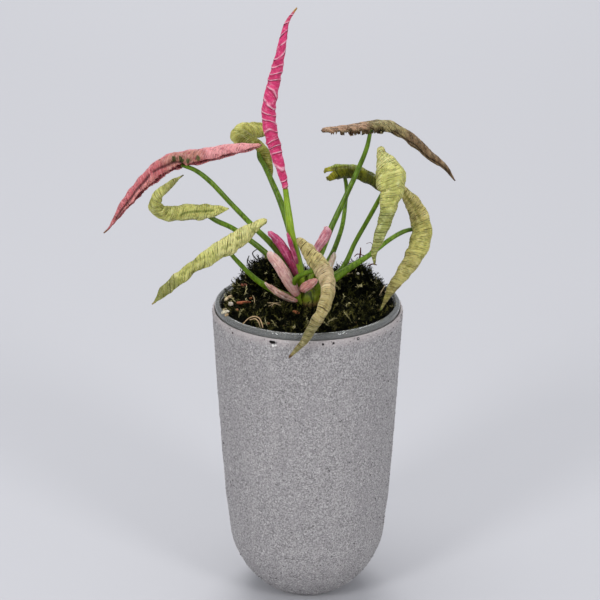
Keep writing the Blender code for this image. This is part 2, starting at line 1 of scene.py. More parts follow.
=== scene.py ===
"""Looks of the arrowhead plant in its sand-coated glass tumbler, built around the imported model.

Leaf, stalk and sheath routes are millimetres from the middle of the pot's rim, as in the part's
source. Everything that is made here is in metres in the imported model's frame.
"""

import json
import math
import random

import bmesh
import bpy
import numpy as np
from mathutils import Matrix, Vector, noise

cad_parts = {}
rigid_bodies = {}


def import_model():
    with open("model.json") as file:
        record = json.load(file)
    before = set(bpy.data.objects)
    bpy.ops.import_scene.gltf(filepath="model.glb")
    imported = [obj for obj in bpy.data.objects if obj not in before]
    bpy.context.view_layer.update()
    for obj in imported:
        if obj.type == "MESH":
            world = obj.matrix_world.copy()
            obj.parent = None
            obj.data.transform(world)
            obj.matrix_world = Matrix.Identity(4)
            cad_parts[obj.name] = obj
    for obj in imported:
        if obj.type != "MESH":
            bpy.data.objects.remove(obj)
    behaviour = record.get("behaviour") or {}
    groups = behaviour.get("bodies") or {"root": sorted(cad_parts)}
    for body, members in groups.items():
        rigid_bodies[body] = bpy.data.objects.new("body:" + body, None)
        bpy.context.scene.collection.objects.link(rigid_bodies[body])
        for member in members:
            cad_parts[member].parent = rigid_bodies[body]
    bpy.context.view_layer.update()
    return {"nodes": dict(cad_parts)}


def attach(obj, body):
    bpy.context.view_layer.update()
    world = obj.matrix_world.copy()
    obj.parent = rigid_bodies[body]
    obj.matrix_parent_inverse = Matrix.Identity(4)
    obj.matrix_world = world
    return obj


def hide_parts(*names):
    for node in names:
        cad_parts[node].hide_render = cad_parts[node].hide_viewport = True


bl_info = {
    "name": "Arrowhead plant in a sand-coated tumbler",
    "version": (1, 0, 0),
    "blender": (4, 5, 0),
    "location": "3D View > Sidebar > Plant",
    "description": "Leaves, stalks, moss, pot finish and studio of a potted arrowhead plant",
    "category": "Add Mesh",
}

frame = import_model()

MM = 0.001
RIM = 139.0
WALL = ((42.0, 136.2), (40.3, 100.0), (38.6, 68.0), (37.2, 46.0))
BELLY_HEIGHT = 34.0
BELLY_RADIUS = 35.7
BELLY_DEPTH = 38.1
COAT_THICK = 1.1
GLASS_WALL = 1.9
LIP_WALL = 2.4
TIP_RADIUS = 1.1
FULL_ROLL = 2.0
BLADE_THICK = 0.5
ROUND_END = 1.3
STALK_TIP = 0.8

# Each leaf: the roll's route (x, y, z, half width), the side its open seam faces, half the wrap
# in degrees, where the stalk joins, the seam's turn, the cleft's half angle, and the stalk's route
LEAVES = {
    "spear": {
        "roll": (
            (-9.5, 2, 50, 1.2), (-11.5, 2, 59, 1.9), (-14, 2, 68.5, 2.6), (-16, 1, 77.5, 2.9),
            (-16.5, 0, 86.5, 2.9), (-14.5, -2, 97, 2.6), (-12, -4, 108, 2.1),
            (-9.5, -6, 120, 1.3), (-8, -7, 125.5, 0.8), (-4.5, -7, 130.5, 0.4),
        ),
        "seam": (0.3, 1, 0), "wrap": 160, "joint": 0.0, "turn": 40, "cleft": 0,
        "stalk": (
            (-1.5, -3.5, 2, 1.6), (-3, -4, 9.5, 1.7), (-3.5, -4, 15.5, 1.7),
            (-5.5, -3.5, 23.5, 1.7), (-7, -2.5, 31, 1.7), (-8, -1, 38, 1.6), (-9, 1.5, 45.5, 1.3),
        ),
    },
    "folded": {
        "roll": (
            (-15.5, 14.5, 52, 0.8), (-16.5, 15.8, 57.9, 1.8), (-18.3, 17, 62.4, 2.4),
            (-21.3, 18, 65.4, 2.6), (-25, 18.8, 67.5, 3.5), (-28.5, 21.3, 68.3, 4.1),
            (-29.2, 26, 69, 4.3), (-26.4, 30, 69.4, 4.4), (-21.5, 33, 68.7, 3.8),
            (-17, 36.5, 67.3, 1.6),
        ),
        "seam": (-0.8, 0.35, -0.5), "wrap": 108, "joint": 0.33, "turn": 0, "cleft": 0,
        "stalk": (
            (-0.5, -1.5, 2, 1.5), (-2.8, 1, 12.5, 1.7), (-5.8, 3.5, 24, 1.7), (-9, 5, 35.3, 1.6),
            (-12.1, 8, 43.5, 1.4), (-16.3, 12, 52.3, 1.2), (-19, 13.3, 57.8, 1.1),
            (-21, 14.5, 61, 1),
        ),
    },
    "brown": {
        "roll": (
            (5.6, 7, 75, 1.3), (14.5, 8, 75, 2.0), (21, 9.5, 75, 2.6), (27.5, 11.5, 75.5, 2.8),
            (34, 12, 75.5, 2.8), (39.5, 11, 73.5, 2.6), (46, 9, 69.5, 2.5), (52.5, 6.5, 64, 2.2),
            (58, 4, 60.5, 1.6), (61.5, 3, 57, 1), (63.5, 2, 54, 0.4),
        ),
        "seam": (0, -0.35, -0.94), "wrap": 130, "joint": 0.33, "turn": 0, "cleft": 0,
        "stalk": (
            (1, -2.5, 2, 1.4), (1.5, -1, 12, 1.5), (6, 3, 21, 1.4), (10.5, 7, 31.5, 1.3),
            (16, 10, 43, 1.2), (21.5, 12, 55, 1.1), (25.5, 12, 65.5, 1),
        ),
    },
    "pink": {
        "roll": (
            (-19.6, 3, 69.6, 1.0), (-25.5, 4, 68.5, 1.8), (-33.5, 5, 67, 2.7), (-43, 6, 64.5, 3.2),
            (-52, 6, 63, 3.5), (-59, 5, 61.5, 3.8), (-65, 3, 58, 3.8), (-70.5, 0.5, 53.5, 3.1),
            (-75.5, -3, 48.5, 2.6), (-80, -7, 43.5, 1.8), (-83.5, -10, 38.5, 1.1),
            (-87, -12, 35, 0.4),
        ),
        "seam": (0, -0.5, -0.85), "wrap": 140, "end": (-54.5, 5.3, 60.2), "turn": 0, "cleft": 0,
        "stalk": (
            (-2.5, -2.5, 2, 1.5), (-5.5, -2, 9.5, 1.6), (-8.5, -3, 16, 1.6), (-14.5, -1, 25, 1.4),
            (-23.5, 1.5, 33.5, 1.2), (-33.5, 4, 43.5, 1.1), (-41.5, 5, 52.2, 1.1), (-48, 5, 57.6, 1),
        ),
    },
    "dark": {
        "roll": (
            (7.8, 20.5, 50.8, 3), (12.5, 21, 52.5, 3.2), (17.5, 22.5, 52.5, 3.1),
            (22.5, 24, 51.5, 3), (27, 25, 49, 2.8), (32, 25, 45.5, 2.4), (36, 24, 41.5, 1.6),
            (38.5, 23, 38.5, 0.5),
        ),
        "seam": (0, 0.85, -0.5), "wrap": 120, "joint": 0.24, "turn": 0, "cleft": 30,
        "stalk": (
            (2, -2.5, 2, 1.2), (4.5, 0, 10.5, 1.3), (9.5, 5, 17, 1.2), (12.5, 10, 22, 1.1),
            (15.5, 16.5, 29.3, 1), (17, 22, 38.8, 0.9), (17.4, 24.5, 43.8, 0.9),
        ),
    },
    "broad": {
        "roll": (
            (31.3, 6, 68.3, 1.6), (32.1, 4.6, 65, 2.3), (34.5, 0, 61.5, 5.1),
            (36, -4, 58.5, 6.3), (36, -7, 55.5, 6.2), (36, -9.5, 52, 5.1), (35, -11.5, 48.5, 3.9),
            (34, -13, 44, 3.2), (32, -14.5, 38, 2.8), (30, -15.5, 32.5, 2.1), (28.5, -16, 27, 1.3),
            (28.5, -16, 22, 0.4),
        ),
        "seam": (-0.75, 0.65, -0.1), "wrap": 125, "end": (32.2, -7, 52.3), "turn": 0, "cleft": 0,
        "stalk": (
            (2.5, -4, 2, 1.2), (6.5, -3, 9.5, 1.3), (13.5, -2, 13.5, 1.3), (17, 0, 18, 1.1),
            (20.5, 1, 26, 1), (25.5, 0, 36, 1), (29, -3, 44, 1),
        ),
    },
    "right": {
        "roll": (
            (40.5, 9, 50.5, 0.7), (43, 8, 46.5, 2.4), (46, 6.5, 42.5, 3.6), (49, 3.5, 37, 4.3),
            (50, 0, 31.5, 4.6), (48.5, -4, 26, 4.4), (45, -8, 20.5, 3.8), (40.5, -11, 15, 3),
            (36, -13.5, 9.5, 2), (33.5, -15, 5, 1.1), (31, -16, 0.6, 0.4),
        ),
        "seam": (-0.9, 0.35, -0.2), "wrap": 130, "end": (47.6, 1.5, 32.6), "turn": 0, "cleft": 0,
        "stalk": (
            (2, -5, 2, 1.5), (6, -6.5, 8.5, 1.7), (11, -6.5, 12, 1.7), (17.5, -5.5, 16.5, 1.5),
            (27, -4, 22.5, 1.1), (35.5, -1.5, 28.5, 1), (42, 1, 31.5, 1),
        ),
    },
    "hooked": {
        "roll": (
            (-33.5, -9, 45, 0.4), (-37, -8, 44.5, 1.6), (-41.5, -7, 43.5, 2.8),
            (-47, -6, 43, 3.4), (-53, -7, 43, 3.3), (-59, -8.3, 43, 3.2), (-62.6, -10, 44.5, 3),
            (-64.2, -12.3, 47.3, 2.7), (-64, -13.8, 50.5, 2.4), (-62.3, -14.2, 53.2, 2.1),
            (-59.2, -13, 55.8, 1.8), (-55.9, -11, 57.9, 1.3), (-52.6, -9, 60, 0.4),
        ),
        "seam": (0.1, 0.5, -0.85), "wrap": 130, "end": (-44.2, -6, 41.8), "turn": 0, "cleft": 0,
        "stalk": (
            (-3, -5.5, 2, 1.2), (-6.5, -6, 9.5, 1.3), (-11, -5.8, 16.5, 1.3), (-18, -5, 23.5, 1.3),
            (-25, -5, 29.5, 1.2), (-32.5, -5, 35, 1.1), (-39, -4.5, 38, 1.1),
        ),
    },
    "lower": {
        "roll": (
            (-17.3, -16, 42.5, 1.3), (-21.5, -17, 40.5, 2.0), (-26, -18.5, 37.8, 3.1),
            (-30.5, -20.5, 35, 3.8), (-35.5, -23, 32.5, 3.8), (-42, -26, 29, 3.3),
            (-48.5, -29.5, 25.5, 2.7), (-54.5, -33, 21.5, 2.6), (-59.5, -35, 17.5, 2.3),
            (-63, -36.5, 14, 1.3), (-65, -37, 12, 0.4),
        ),
        "seam": (0.2, 0.5, -0.85), "wrap": 130, "end": (-34.6, -22.6, 31.8), "turn": 50, "cleft": 0,
        "stalk": (
            (-1.5, -5.5, 0, 1.2), (-5, -7.5, 3.5, 1.3), (-12, -10, 7, 1.5), (-19, -13, 12, 1.3),
            (-24, -15.5, 17, 1.1), (-29.5, -18.8, 24.3, 1),
        ),
    },
    "front": {
        "roll": (
            (-4.6, -8.4, 31.6, 1.2), (-1.5, -11, 29.5, 2.3), (2, -16, 26.5, 3.3),
            (6.5, -23, 23, 3.8), (8.5, -32, 20, 3.2), (8, -40, 16.5, 2.8), (5.5, -44.5, 11, 2.5),
            (2, -46, 5.5, 2.1), (-1.5, -47, -0.5, 1.6), (-5.5, -47, -5, 0.9), (-8, -47, -8, 0.4),
        ),
        "seam": (-0.7, 0.6, -0.3), "wrap": 130, "joint": 0.28, "turn": 0, "cleft": 0,
        "stalk": (
            (-3, -6.5, 0, 1.4), (-5.3, -8.3, 6, 1.5), (-6.2, -9, 9.5, 1.4), (-5.5, -10.5, 13, 1.3),
            (-2.5, -13, 16.5, 1.2), (1.5, -17, 19.5, 1.1),
        ),
    },
}

SHEATHS = {
    "magenta": {
        "roll": ((-4, -5, 13, 1.7), (-7.5, -4.8, 20.4, 2), (-10, -4.2, 25, 2),
                 (-13.4, -3.7, 29.5, 1.8), (-16.8, -3.5, 33, 0.9)),
        "seam": (-0.3, 1, -0.2),
    },
    "broad": {
        "roll": ((-4.5, -9, 5, 2), (-8, -10, 11.5, 2.6), (-12, -11, 19, 2.6),
                 (-15.5, -11, 24, 2.1), (-17, -11, 26.5, 0.9)),
        "seam": (0.2, 1, 0.1),
    },
    "low": {
        "roll": ((-4.5, -9.3, 2.6, 1.3), (-9, -11.5, 5.2, 1.9), (-13, -14, 8.4, 1.9),
                 (-16.5, -15.5, 12, 1.4), (-18.5, -16.5, 14.2, 0.6)),
        "seam": (0.2, 0.6, 0.7),
    },
    "right": {
        "roll": ((2.2, -1.5, 16.8, 1.3), (2.9, -0.6, 21.4, 1.6), (4.7, 0.6, 25.1, 1.9),
                 (6.7, 1.2, 28, 2.2), (8.2, 1.5, 30.8, 2.2), (8.8, 1.5, 33.4, 1.3)),
        "seam": (0.4, 1, -0.1),
    },
    "pale": {
        "roll": ((8.5, 0, 11.5, 1.1), (10.5, 3, 16, 1.4), (11.5, 4.5, 18.5, 1.3), (11.5, 5, 20.5, 0.7)),
        "seam": (-0.4, 1, -0.1),
    },
    "thin": {
        "roll": ((-4.6, -6.6, 19, 1), (-6.6, -6.1, 25.5, 1.1), (-8.2, -5.4, 30.5, 0.9),
                 (-8.8, -5.2, 33, 0.6)),
        "seam": (0.3, 1, 0),
    },
    "front": {
        "roll": ((-2.5, -10.6, 7.8, 1.6), (-0.9, -11.9, 10, 2.2), (1.5, -12.7, 12, 2),
                 (4.2, -13, 14.6, 0.8)),
        "seam": (0.2, 0.8, 0.5),
    },
}

# Colours of each blade: face, a darker tone for random mottling and painted shade, a paler tone for random streaks
# and painted highlights, and the dry colour of its tips
BLADE_COLOURS = {
    "spear": ("E0437A", "B42A58", "FCB6C8", "B08A3C"),
    "folded": ("BEBA60", "7A7A2C", "D8D48C", "6E6A2C"),
    "brown": ("9C8458", "5E4A30", "BDA883", "5C4330"),
    "pink": ("DB7C82", "A4505A", "F5B9B6", "7C5B40"),
    "dark": ("6E700A", "3A3C04", "8E9024", "A9A23E"),
    "broad": ("D0CE76", "96974A", "E4E2A4", "8A7F42"),
    "right": ("C8C26C", "8E8840", "DCD696", "93984A"),
    "hooked": ("C6C470", "8A8C3E", "DCDA98", "4F4A26"),
    "lower": ("C9C874", "7E823A", "E2DEA0", "A08A48"),
    "front": ("BEB074", "7E7040", "DCCCA0", "5A4024"),
}


def linear(hex_colour):
    """An sRGB hex colour as linear RGBA."""
    parts = [int(hex_colour[i:i + 2], 16) / 255 for i in (0, 2, 4)]
    return [c / 12.92 if c <= 0.04045 else ((c + 0.055) / 1.055) ** 2.4 for c in parts] + [1.0]


def colour_default(hex_colour):
    return tuple(linear(hex_colour)[:3])


def above_rim(point):
    return Vector((point[0], point[1], point[2] + RIM)) * MM


def unit(vector):
    return vector / np.linalg.norm(vector)


def smoothstep(low, high, value):
    t = np.clip((value - low) / (high - low), 0, 1)
    return t * t * (3 - 2 * t)


def rough(x, y, z=0.0):
    return noise.noise(Vector((x, y, z)))


def smooth_path(points, count):
    """Samples at equal distances along a smooth curve through the points, and its length."""
    given = np.array(points, float)
    ends = np.vstack([2 * given[0] - given[1], given, 2 * given[-1] - given[-2]])
    dense = []
    for a, b, c, d in zip(ends, ends[1:], ends[2:], ends[3:]):
        for t in np.linspace(0, 1, 24, endpoint=False):
            bend = (2 * a - 5 * b + 4 * c - d) * t * t + (3 * b - a - 3 * c + d) * t ** 3
            dense.append(0.5 * (2 * b + (c - a) * t + bend))
    dense = np.array(dense + [given[-1]])
    along = np.concatenate([[0], np.cumsum(np.linalg.norm(np.diff(dense[:, :3], axis=0), axis=1))])
    at = np.linspace(0, along[-1], count + 1)
    return np.column_stack([np.interp(at, along, column) for column in dense.T]), along[-1]


class Roll:
    """The frames of a rolled blade: its axis, radius and wrap at each row."""

    def __init__(self, leaf, rows):
        path, self.length = smooth_path(leaf["roll"], rows)
        end = np.minimum(np.arange(rows + 1), np.arange(rows, -1, -1)) * self.length / rows
        rounded = np.sqrt(1 - (1 - np.clip(end / ROUND_END, 0, 1)) ** 2)
        blunt = np.where(np.arange(rows + 1) < rows / 2, 0.75 if leaf.get("cleft") else 0.12, 0.12)
        path[:, 3] *= np.maximum(rounded, blunt)
        self.rows = rows
        self.centre = path[:, :3]
        self.half = path[:, 3]
        self.tangent = np.array([unit(v) for v in np.gradient(self.centre, axis=0)])
        side = np.array(leaf["seam"], float)
        seams = []
        for tangent in self.tangent:
            side = unit(side - tangent * side.dot(tangent))
            seams.append(side)
        self.seam = np.array(seams)
        for i, tangent in enumerate(self.tangent):
            angle = math.radians(leaf.get("turn", 0)) * i / rows
            across = np.cross(tangent, self.seam[i])
            self.seam[i] = self.seam[i] * math.cos(angle) + across * math.sin(angle)
        self.across = np.cross(self.tangent, self.seam)
        self.radius = np.maximum(self.half, TIP_RADIUS)
        filled = np.clip((self.half - TIP_RADIUS) / (FULL_ROLL - TIP_RADIUS), 0, 1)
        rolled = 90 + (leaf.get("wrap", 100) - 90) * filled
        strip = np.degrees(np.arcsin(np.clip(self.half / TIP_RADIUS, 0, 1)))
        self.wrap = np.radians(np.where(self.half < TIP_RADIUS, strip, rolled))
        self.shift = self.radius * (1 + np.cos(self.wrap)) / 2

    def point(self, row, angle, extra=0.0):
        radius = self.radius[row] + extra
        inward = self.seam[row] * (self.shift[row] - radius * math.cos(angle))
        return self.centre[row] + inward + self.across[row] * radius * math.sin(angle)


def stalk_route(leaf, roll):
    """The stalk's route, run on into the middle of the rolled blade."""
    route = list(leaf["stalk"])
    if leaf.get("joint") == 0:
        end = roll.centre[0] + roll.tangent[0] * 0.4
        return route + [(*end, leaf["roll"][0][3])]
    if "end" in leaf:
        return route + [(*leaf["end"], STALK_TIP)]
    row = round(leaf["joint"] * roll.rows)
    axis = roll.centre[row] + roll.seam[row] * roll.shift[row]
    return route + [(*axis, STALK_TIP)]


# Short names of nodes: type, settings, the inputs that its values go to in order, and its output
NODE_KINDS = {
    "mix": ("ShaderNodeMix", {"data_type": "RGBA"}, (0, 6, 7), 2),
    "tinted": ("ShaderNodeMix", {"data_type": "RGBA", "blend_type": "MULTIPLY"}, (0, 6, 7), 2),
    "range": ("ShaderNodeMapRange", {"interpolation_type": "SMOOTHSTEP"}, (0, 1, 2, 3, 4), 0),
    "noise": ("ShaderNodeTexNoise", {"Detail": 3.0}, ("Vector", "Scale", "Detail", "Roughness"), 0),
    "bump": ("ShaderNodeBump", {}, ("Height", "Distance", "Normal"), 0),
    "mapping": ("ShaderNodeMapping", {}, ("Vector", "Scale"), 0),
    "split": ("ShaderNodeSeparateXYZ", {}, (0,), 2),
    "place": ("ShaderNodeTexCoord", {}, (), "Object"),
    "uv": ("ShaderNodeTexCoord", {}, (), "UV"),
    "value": ("ShaderNodeAttribute", {}, (), "Fac"),
    "distance": ("ShaderNodeVectorMath", {"operation": "DISTANCE"}, (0, 1), "Value"),
    "random": ("FunctionNodeRandomValue", {"data_type": "FLOAT"}, (2, 3, "Seed"), 1),
}
for operation in ("ADD", "SUBTRACT", "MULTIPLY", "MAXIMUM", "PINGPONG"):
    NODE_KINDS[operation.lower()] = ("ShaderNodeMath", {"operation": operation}, (0, 1), 0)


def node(tree, kind, *values, out=None, **given):
    """Adds a node and returns one of its outputs.

    Values go to the kind's inputs in order, and named ones to the property (small first letter) or the
    input of that name. A socket is linked, and a hex colour is turned linear.
    """
    full, preset, order, output = NODE_KINDS.get(kind, (kind, {}, (), 0))
    made = tree.nodes.new(full)
    settings = {**preset, **dict(zip(order, values)), **given}
    for name in [name for name in settings if str(name)[0].islower()]:
        setattr(made, name, settings.pop(name))
    for name, value in settings.items():
        socket = made.inputs[name]
        if isinstance(value, bpy.types.NodeSocket):
            tree.links.new(value, socket)
        else:
            socket.default_value = linear(value) if socket.type == "RGBA" else value
    return made.outputs[output if out is None else out]


def grain(millimetres):
    """The scale of a noise whose grains are about that many millimetres across."""
    return 1 / (millimetres * MM)


def new_material(name):
    material = bpy.data.materials.new(name)
    material.use_nodes = True
    return material, material.node_tree


def dress(material, colour, relief, **levels):
    """Links the colour and the relief to the material's surface, and sets its other levels."""
    links = material.node_tree.links
    surface = material.node_tree.nodes["Principled BSDF"]
    links.new(colour, surface.inputs["Base Color"])
    if relief:
        links.new(relief, surface.inputs["Normal"])
    for name, value in levels.items():
        surface.inputs[name.replace("_", " ")].default_value = value
    return material


def tinge(tree, colour, other, value, low, high, most=1.0):
    """Turns a colour towards another as a value goes from low to high."""
    return node(tree, "mix", node(tree, "range", value, low, high, 0.0, most), colour, other)


def band(tree, value, low, high, soft):
    """One between two values and nothing beyond them."""
    up = node(tree, "range", value, low - soft, low + soft)
    down = node(tree, "range", value, high - soft, high + soft, 1.0, 0.0)
    return node(tree, "multiply", up, down)


def finish_piece(obj, replaced=()):
    """Hangs a finished piece on the part's one body."""
    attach(obj, "root")
    if replaced:
        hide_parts(*replaced)
    return obj


def link_object(name, mesh, material=None):
    obj = bpy.data.objects.new(name, mesh)
    bpy.context.scene.collection.objects.link(obj)
    if material:
        mesh.materials.clear()
        mesh.materials.append(material)
    return obj


def mesh_from(name, points, faces, smooth=True):
    mesh = bpy.data.meshes.new(name)
    mesh.from_pydata([tuple(p) for p in points], [], faces)
    if smooth:
        mesh.shade_smooth()
    return mesh


def baked(obj, material=None):
    """The object with its modifiers turned into a plain mesh."""
    bpy.context.view_layer.update()
    graph = bpy.context.evaluated_depsgraph_get()
    mesh = bpy.data.meshes.new_from_object(obj.evaluated_get(graph))
    obj.modifiers.clear()
    obj.data = mesh
    if material:
        mesh.materials.clear()
        mesh.materials.append(material)
    return obj


def use_tree(obj, tree, **values):
    """Runs a Geometry Nodes tree on the object, with its inputs set by their names' identifiers."""
    modifier = obj.modifiers.new(tree.name, "NODES")
    modifier.node_group = tree
    for item in tree.interface.items_tree:
        if item.item_type == "SOCKET" and item.in_out == "INPUT" and item.name in values:
            modifier[item.identifier] = values[item.name]
    return baked(obj)


def new_tree(name, inputs):
    """A geometry tree with named inputs, and the sockets that they come from."""
    tree = bpy.data.node_groups.new(name, "GeometryNodeTree")
    tree.interface.new_socket("Geometry", in_out="INPUT", socket_type="NodeSocketGeometry")
    for label, kind, value in inputs:
        socket = tree.interface.new_socket(label, in_out="INPUT", socket_type=kind)
        if value is not None:
            socket.default_value = value
    tree.interface.new_socket("Geometry", in_out="OUTPUT", socket_type="NodeSocketGeometry")
    return tree, tree.nodes.new("NodeGroupInput").outputs


def close_tree(tree, geometry, material):
    """Ends the tree with real geometry in its material."""
    solid = node(tree, "GeometryNodeRealizeInstances", Geometry=geometry)
    dressed = node(tree, "GeometryNodeSetMaterial", Geometry=solid, Material=material)
    tree.links.new(dressed, tree.nodes.new("NodeGroupOutput").inputs[0])
    return tree


def sheet_object(name, grid, flat, values, thickness, material, split_rows=0):
    """A closed thin sheet from a grid of points in mm over the rim, with metric UVs and point values."""
    rows, columns = grid.shape[0], grid.shape[1]
    index = np.arange(rows * columns).reshape(rows, columns)
    faces = np.stack([index[:-1, :-1], index[1:, :-1], index[1:, 1:], index[:-1, 1:]], axis=-1)
    if split_rows:
        middle = columns // 2 - 1
        keep = np.ones(faces.shape[:2], dtype=bool)
        keep[:split_rows, middle] = False
        faces = faces[keep]
    points = (grid.reshape(-1, 3) + (0, 0, RIM)) * MM
    mesh = mesh_from(name, points, faces.reshape(-1, 4).tolist())
    layer = mesh.uv_layers.new(name="metric")
    corners = np.zeros(len(mesh.loops), dtype=np.int32)
    mesh.loops.foreach_get("vertex_index", corners)
    layer.data.foreach_set("uv", (flat.reshape(-1, 2)[corners] * MM).ravel())
    for key, value in values.items():
        mesh.attributes.new(key, "FLOAT", "POINT").data.foreach_set("value", value.ravel())
    if split_rows:
        bm = bmesh.new()
        bm.from_mesh(mesh)
        bmesh.ops.remove_doubles(bm, verts=bm.verts[:], dist=1e-7)
        bm.to_mesh(mesh)
        bm.free()
    obj = link_object(name, mesh)
    thick = obj.modifiers.new("thick", "SOLIDIFY")
    thick.thickness = thickness * MM
    thick.offset = -1
    return baked(obj, material)


def crease_depth(creases, along, share, width_at):
    """How deep in mm, and how much, a point lies in a leaf's long folds."""
    deep = 0.0
    inside = 0.0
    for start, end, first, last, width, depth in creases:
        part = (along - start) / (end - start)
        if not -0.05 < part < 1.05:
            continue
        fade = min(max(part * 8 + 0.4, 0), 1) * min(max((1 - part) * 8 + 0.4, 0), 1)
        line = first + (last - first) * part + 0.05 * rough(along * 22, first * 5)
        off = (share - line) * width_at / width
        strength = math.exp(-off * off) * fade
        deep += depth * strength
        inside = max(inside, strength)
    return deep, inside


def blade_object(name, leaf, material, look, rows, columns, seed):
    """A rolled blade with the solid's folds, finer veins, crumples and uneven edges."""
    roll = Roll(leaf, rows)
    cleft_rows = round(rows * 0.12) if leaf["cleft"] else 0
    half = np.linspace(0, 1, columns // 2 + 1)
    shares = np.concatenate([-half[::-1], half]) if cleft_rows else np.linspace(-1, 1, columns + 1)
    shape = (rows + 1, len(shares))
    grid = np.zeros((*shape, 3))
    flat = np.zeros((*shape, 2))
    values = {key: np.zeros(shape) for key in ("relief", "along", "across", "crease", "vein")}
    low, high, amount = look["ragged"]
    for i in range(rows + 1):
        distance = roll.length * i / rows
        part = i / rows
        opened = math.radians(leaf["cleft"]) * (1 - i / cleft_rows) if i < cleft_rows else 0
        turned = 0.0
        for start, end, degrees in look["twist"]:
            shown = smoothstep(start - 0.05, start + 0.05, part) * (1 - smoothstep(end - 0.05, end + 0.05, part))
            turned += math.radians(degrees) * float(shown)
        torn = amount if low < part < high else 0.04
        for j, share in enumerate(shares):
            side = -1 if j < len(shares) / 2 else 1
            cleft = side * opened
            teeth = rough(distance * 0.55, share * 2, seed + 9) + 0.5 * rough(distance * 2.1, share, seed)
            wavy = 0.05 * abs(share) * math.sin(2 * math.pi * distance / 11 + 2 * share)
            whole = roll.wrap[i] * look["wrap"] * (1 + wavy + torn * abs(share) ** 6 * teeth)
            angle = cleft + share * (whole - abs(cleft)) + turned * min(roll.radius[i] / 2.2, 1)
            arc = roll.radius[i] * angle
            fold = math.sin(2 * math.pi * distance / 7.5 + 1.5 * angle)
            drift = look["drift"] * rough(distance * 0.09, arc * 0.13, seed)
            vein = (distance - look["slant"] * abs(arc)) / look["pitch"] + drift
            ridge = math.exp(-(((vein % 1) - 0.5) / 0.19) ** 2)
            ridge *= 0.55 + 0.9 * rough(distance * 0.2, arc * 0.35, seed + 3)
            crumple = rough(distance * 0.33, arc * 0.5, seed + 5)
            fine = rough(distance * 1.1, arc * 1.3, seed + 7)
            height = 0.32 * crumple + 0.07 * fine + 0.3 * math.exp(-(arc / 0.6) ** 2)
            slim = min(roll.radius[i] / 2.6, 1)
            deep, inside = crease_depth(look["creases"], part, share, roll.radius[i] * roll.wrap[i])
            extra = 0.05 * roll.radius[i] * fold + (height * look["crumple"] + ridge * look["ridge"]) * slim
            grid[i, j] = roll.point(i, angle, extra - deep)
            flat[i, j] = (distance, arc)
            values["relief"][i, j] = 0.5 + 0.7 * crumple + 0.3 * fine
            values["along"][i, j] = part
            values["across"][i, j] = share
            values["crease"][i, j] = inside
            values["vein"][i, j] = vein
    return sheet_object(name, grid, flat, values, BLADE_THICK, material, cleft_rows)


def wrinkles(tree, uv, look):
    """Values of the furrows, which get painted shade, the raised crests, which get a painted highlight, and the fine
    wrinkles along a blade's side veins.
    """
    vein = node(tree, "value", attribute_name="vein")
    patches = node(tree, "range", node(tree, "noise", uv, grain(4), 2), 0.38, 0.62)
    moved = node(tree, "add", vein, look["under"])
    furrow = node(tree, "range", node(tree, "pingpong", moved, 0.5), 0.13, 0.02)
    crest = node(tree, "range", node(tree, "pingpong", vein, 0.5), 0.34, 0.48)
    spread = node(tree, "range", node(tree, "noise", uv, grain(3), 2), 0.3, 0.55)
    wander = node(tree, "multiply", node(tree, "noise", uv, grain(2.5), 2), 1.4)
    fine = node(tree, "pingpong", node(tree, "add", node(tree, "multiply", vein, 2.6), wander), 0.5)
    return node(tree, "multiply", furrow, patches), node(tree, "multiply", crest, spread), fine


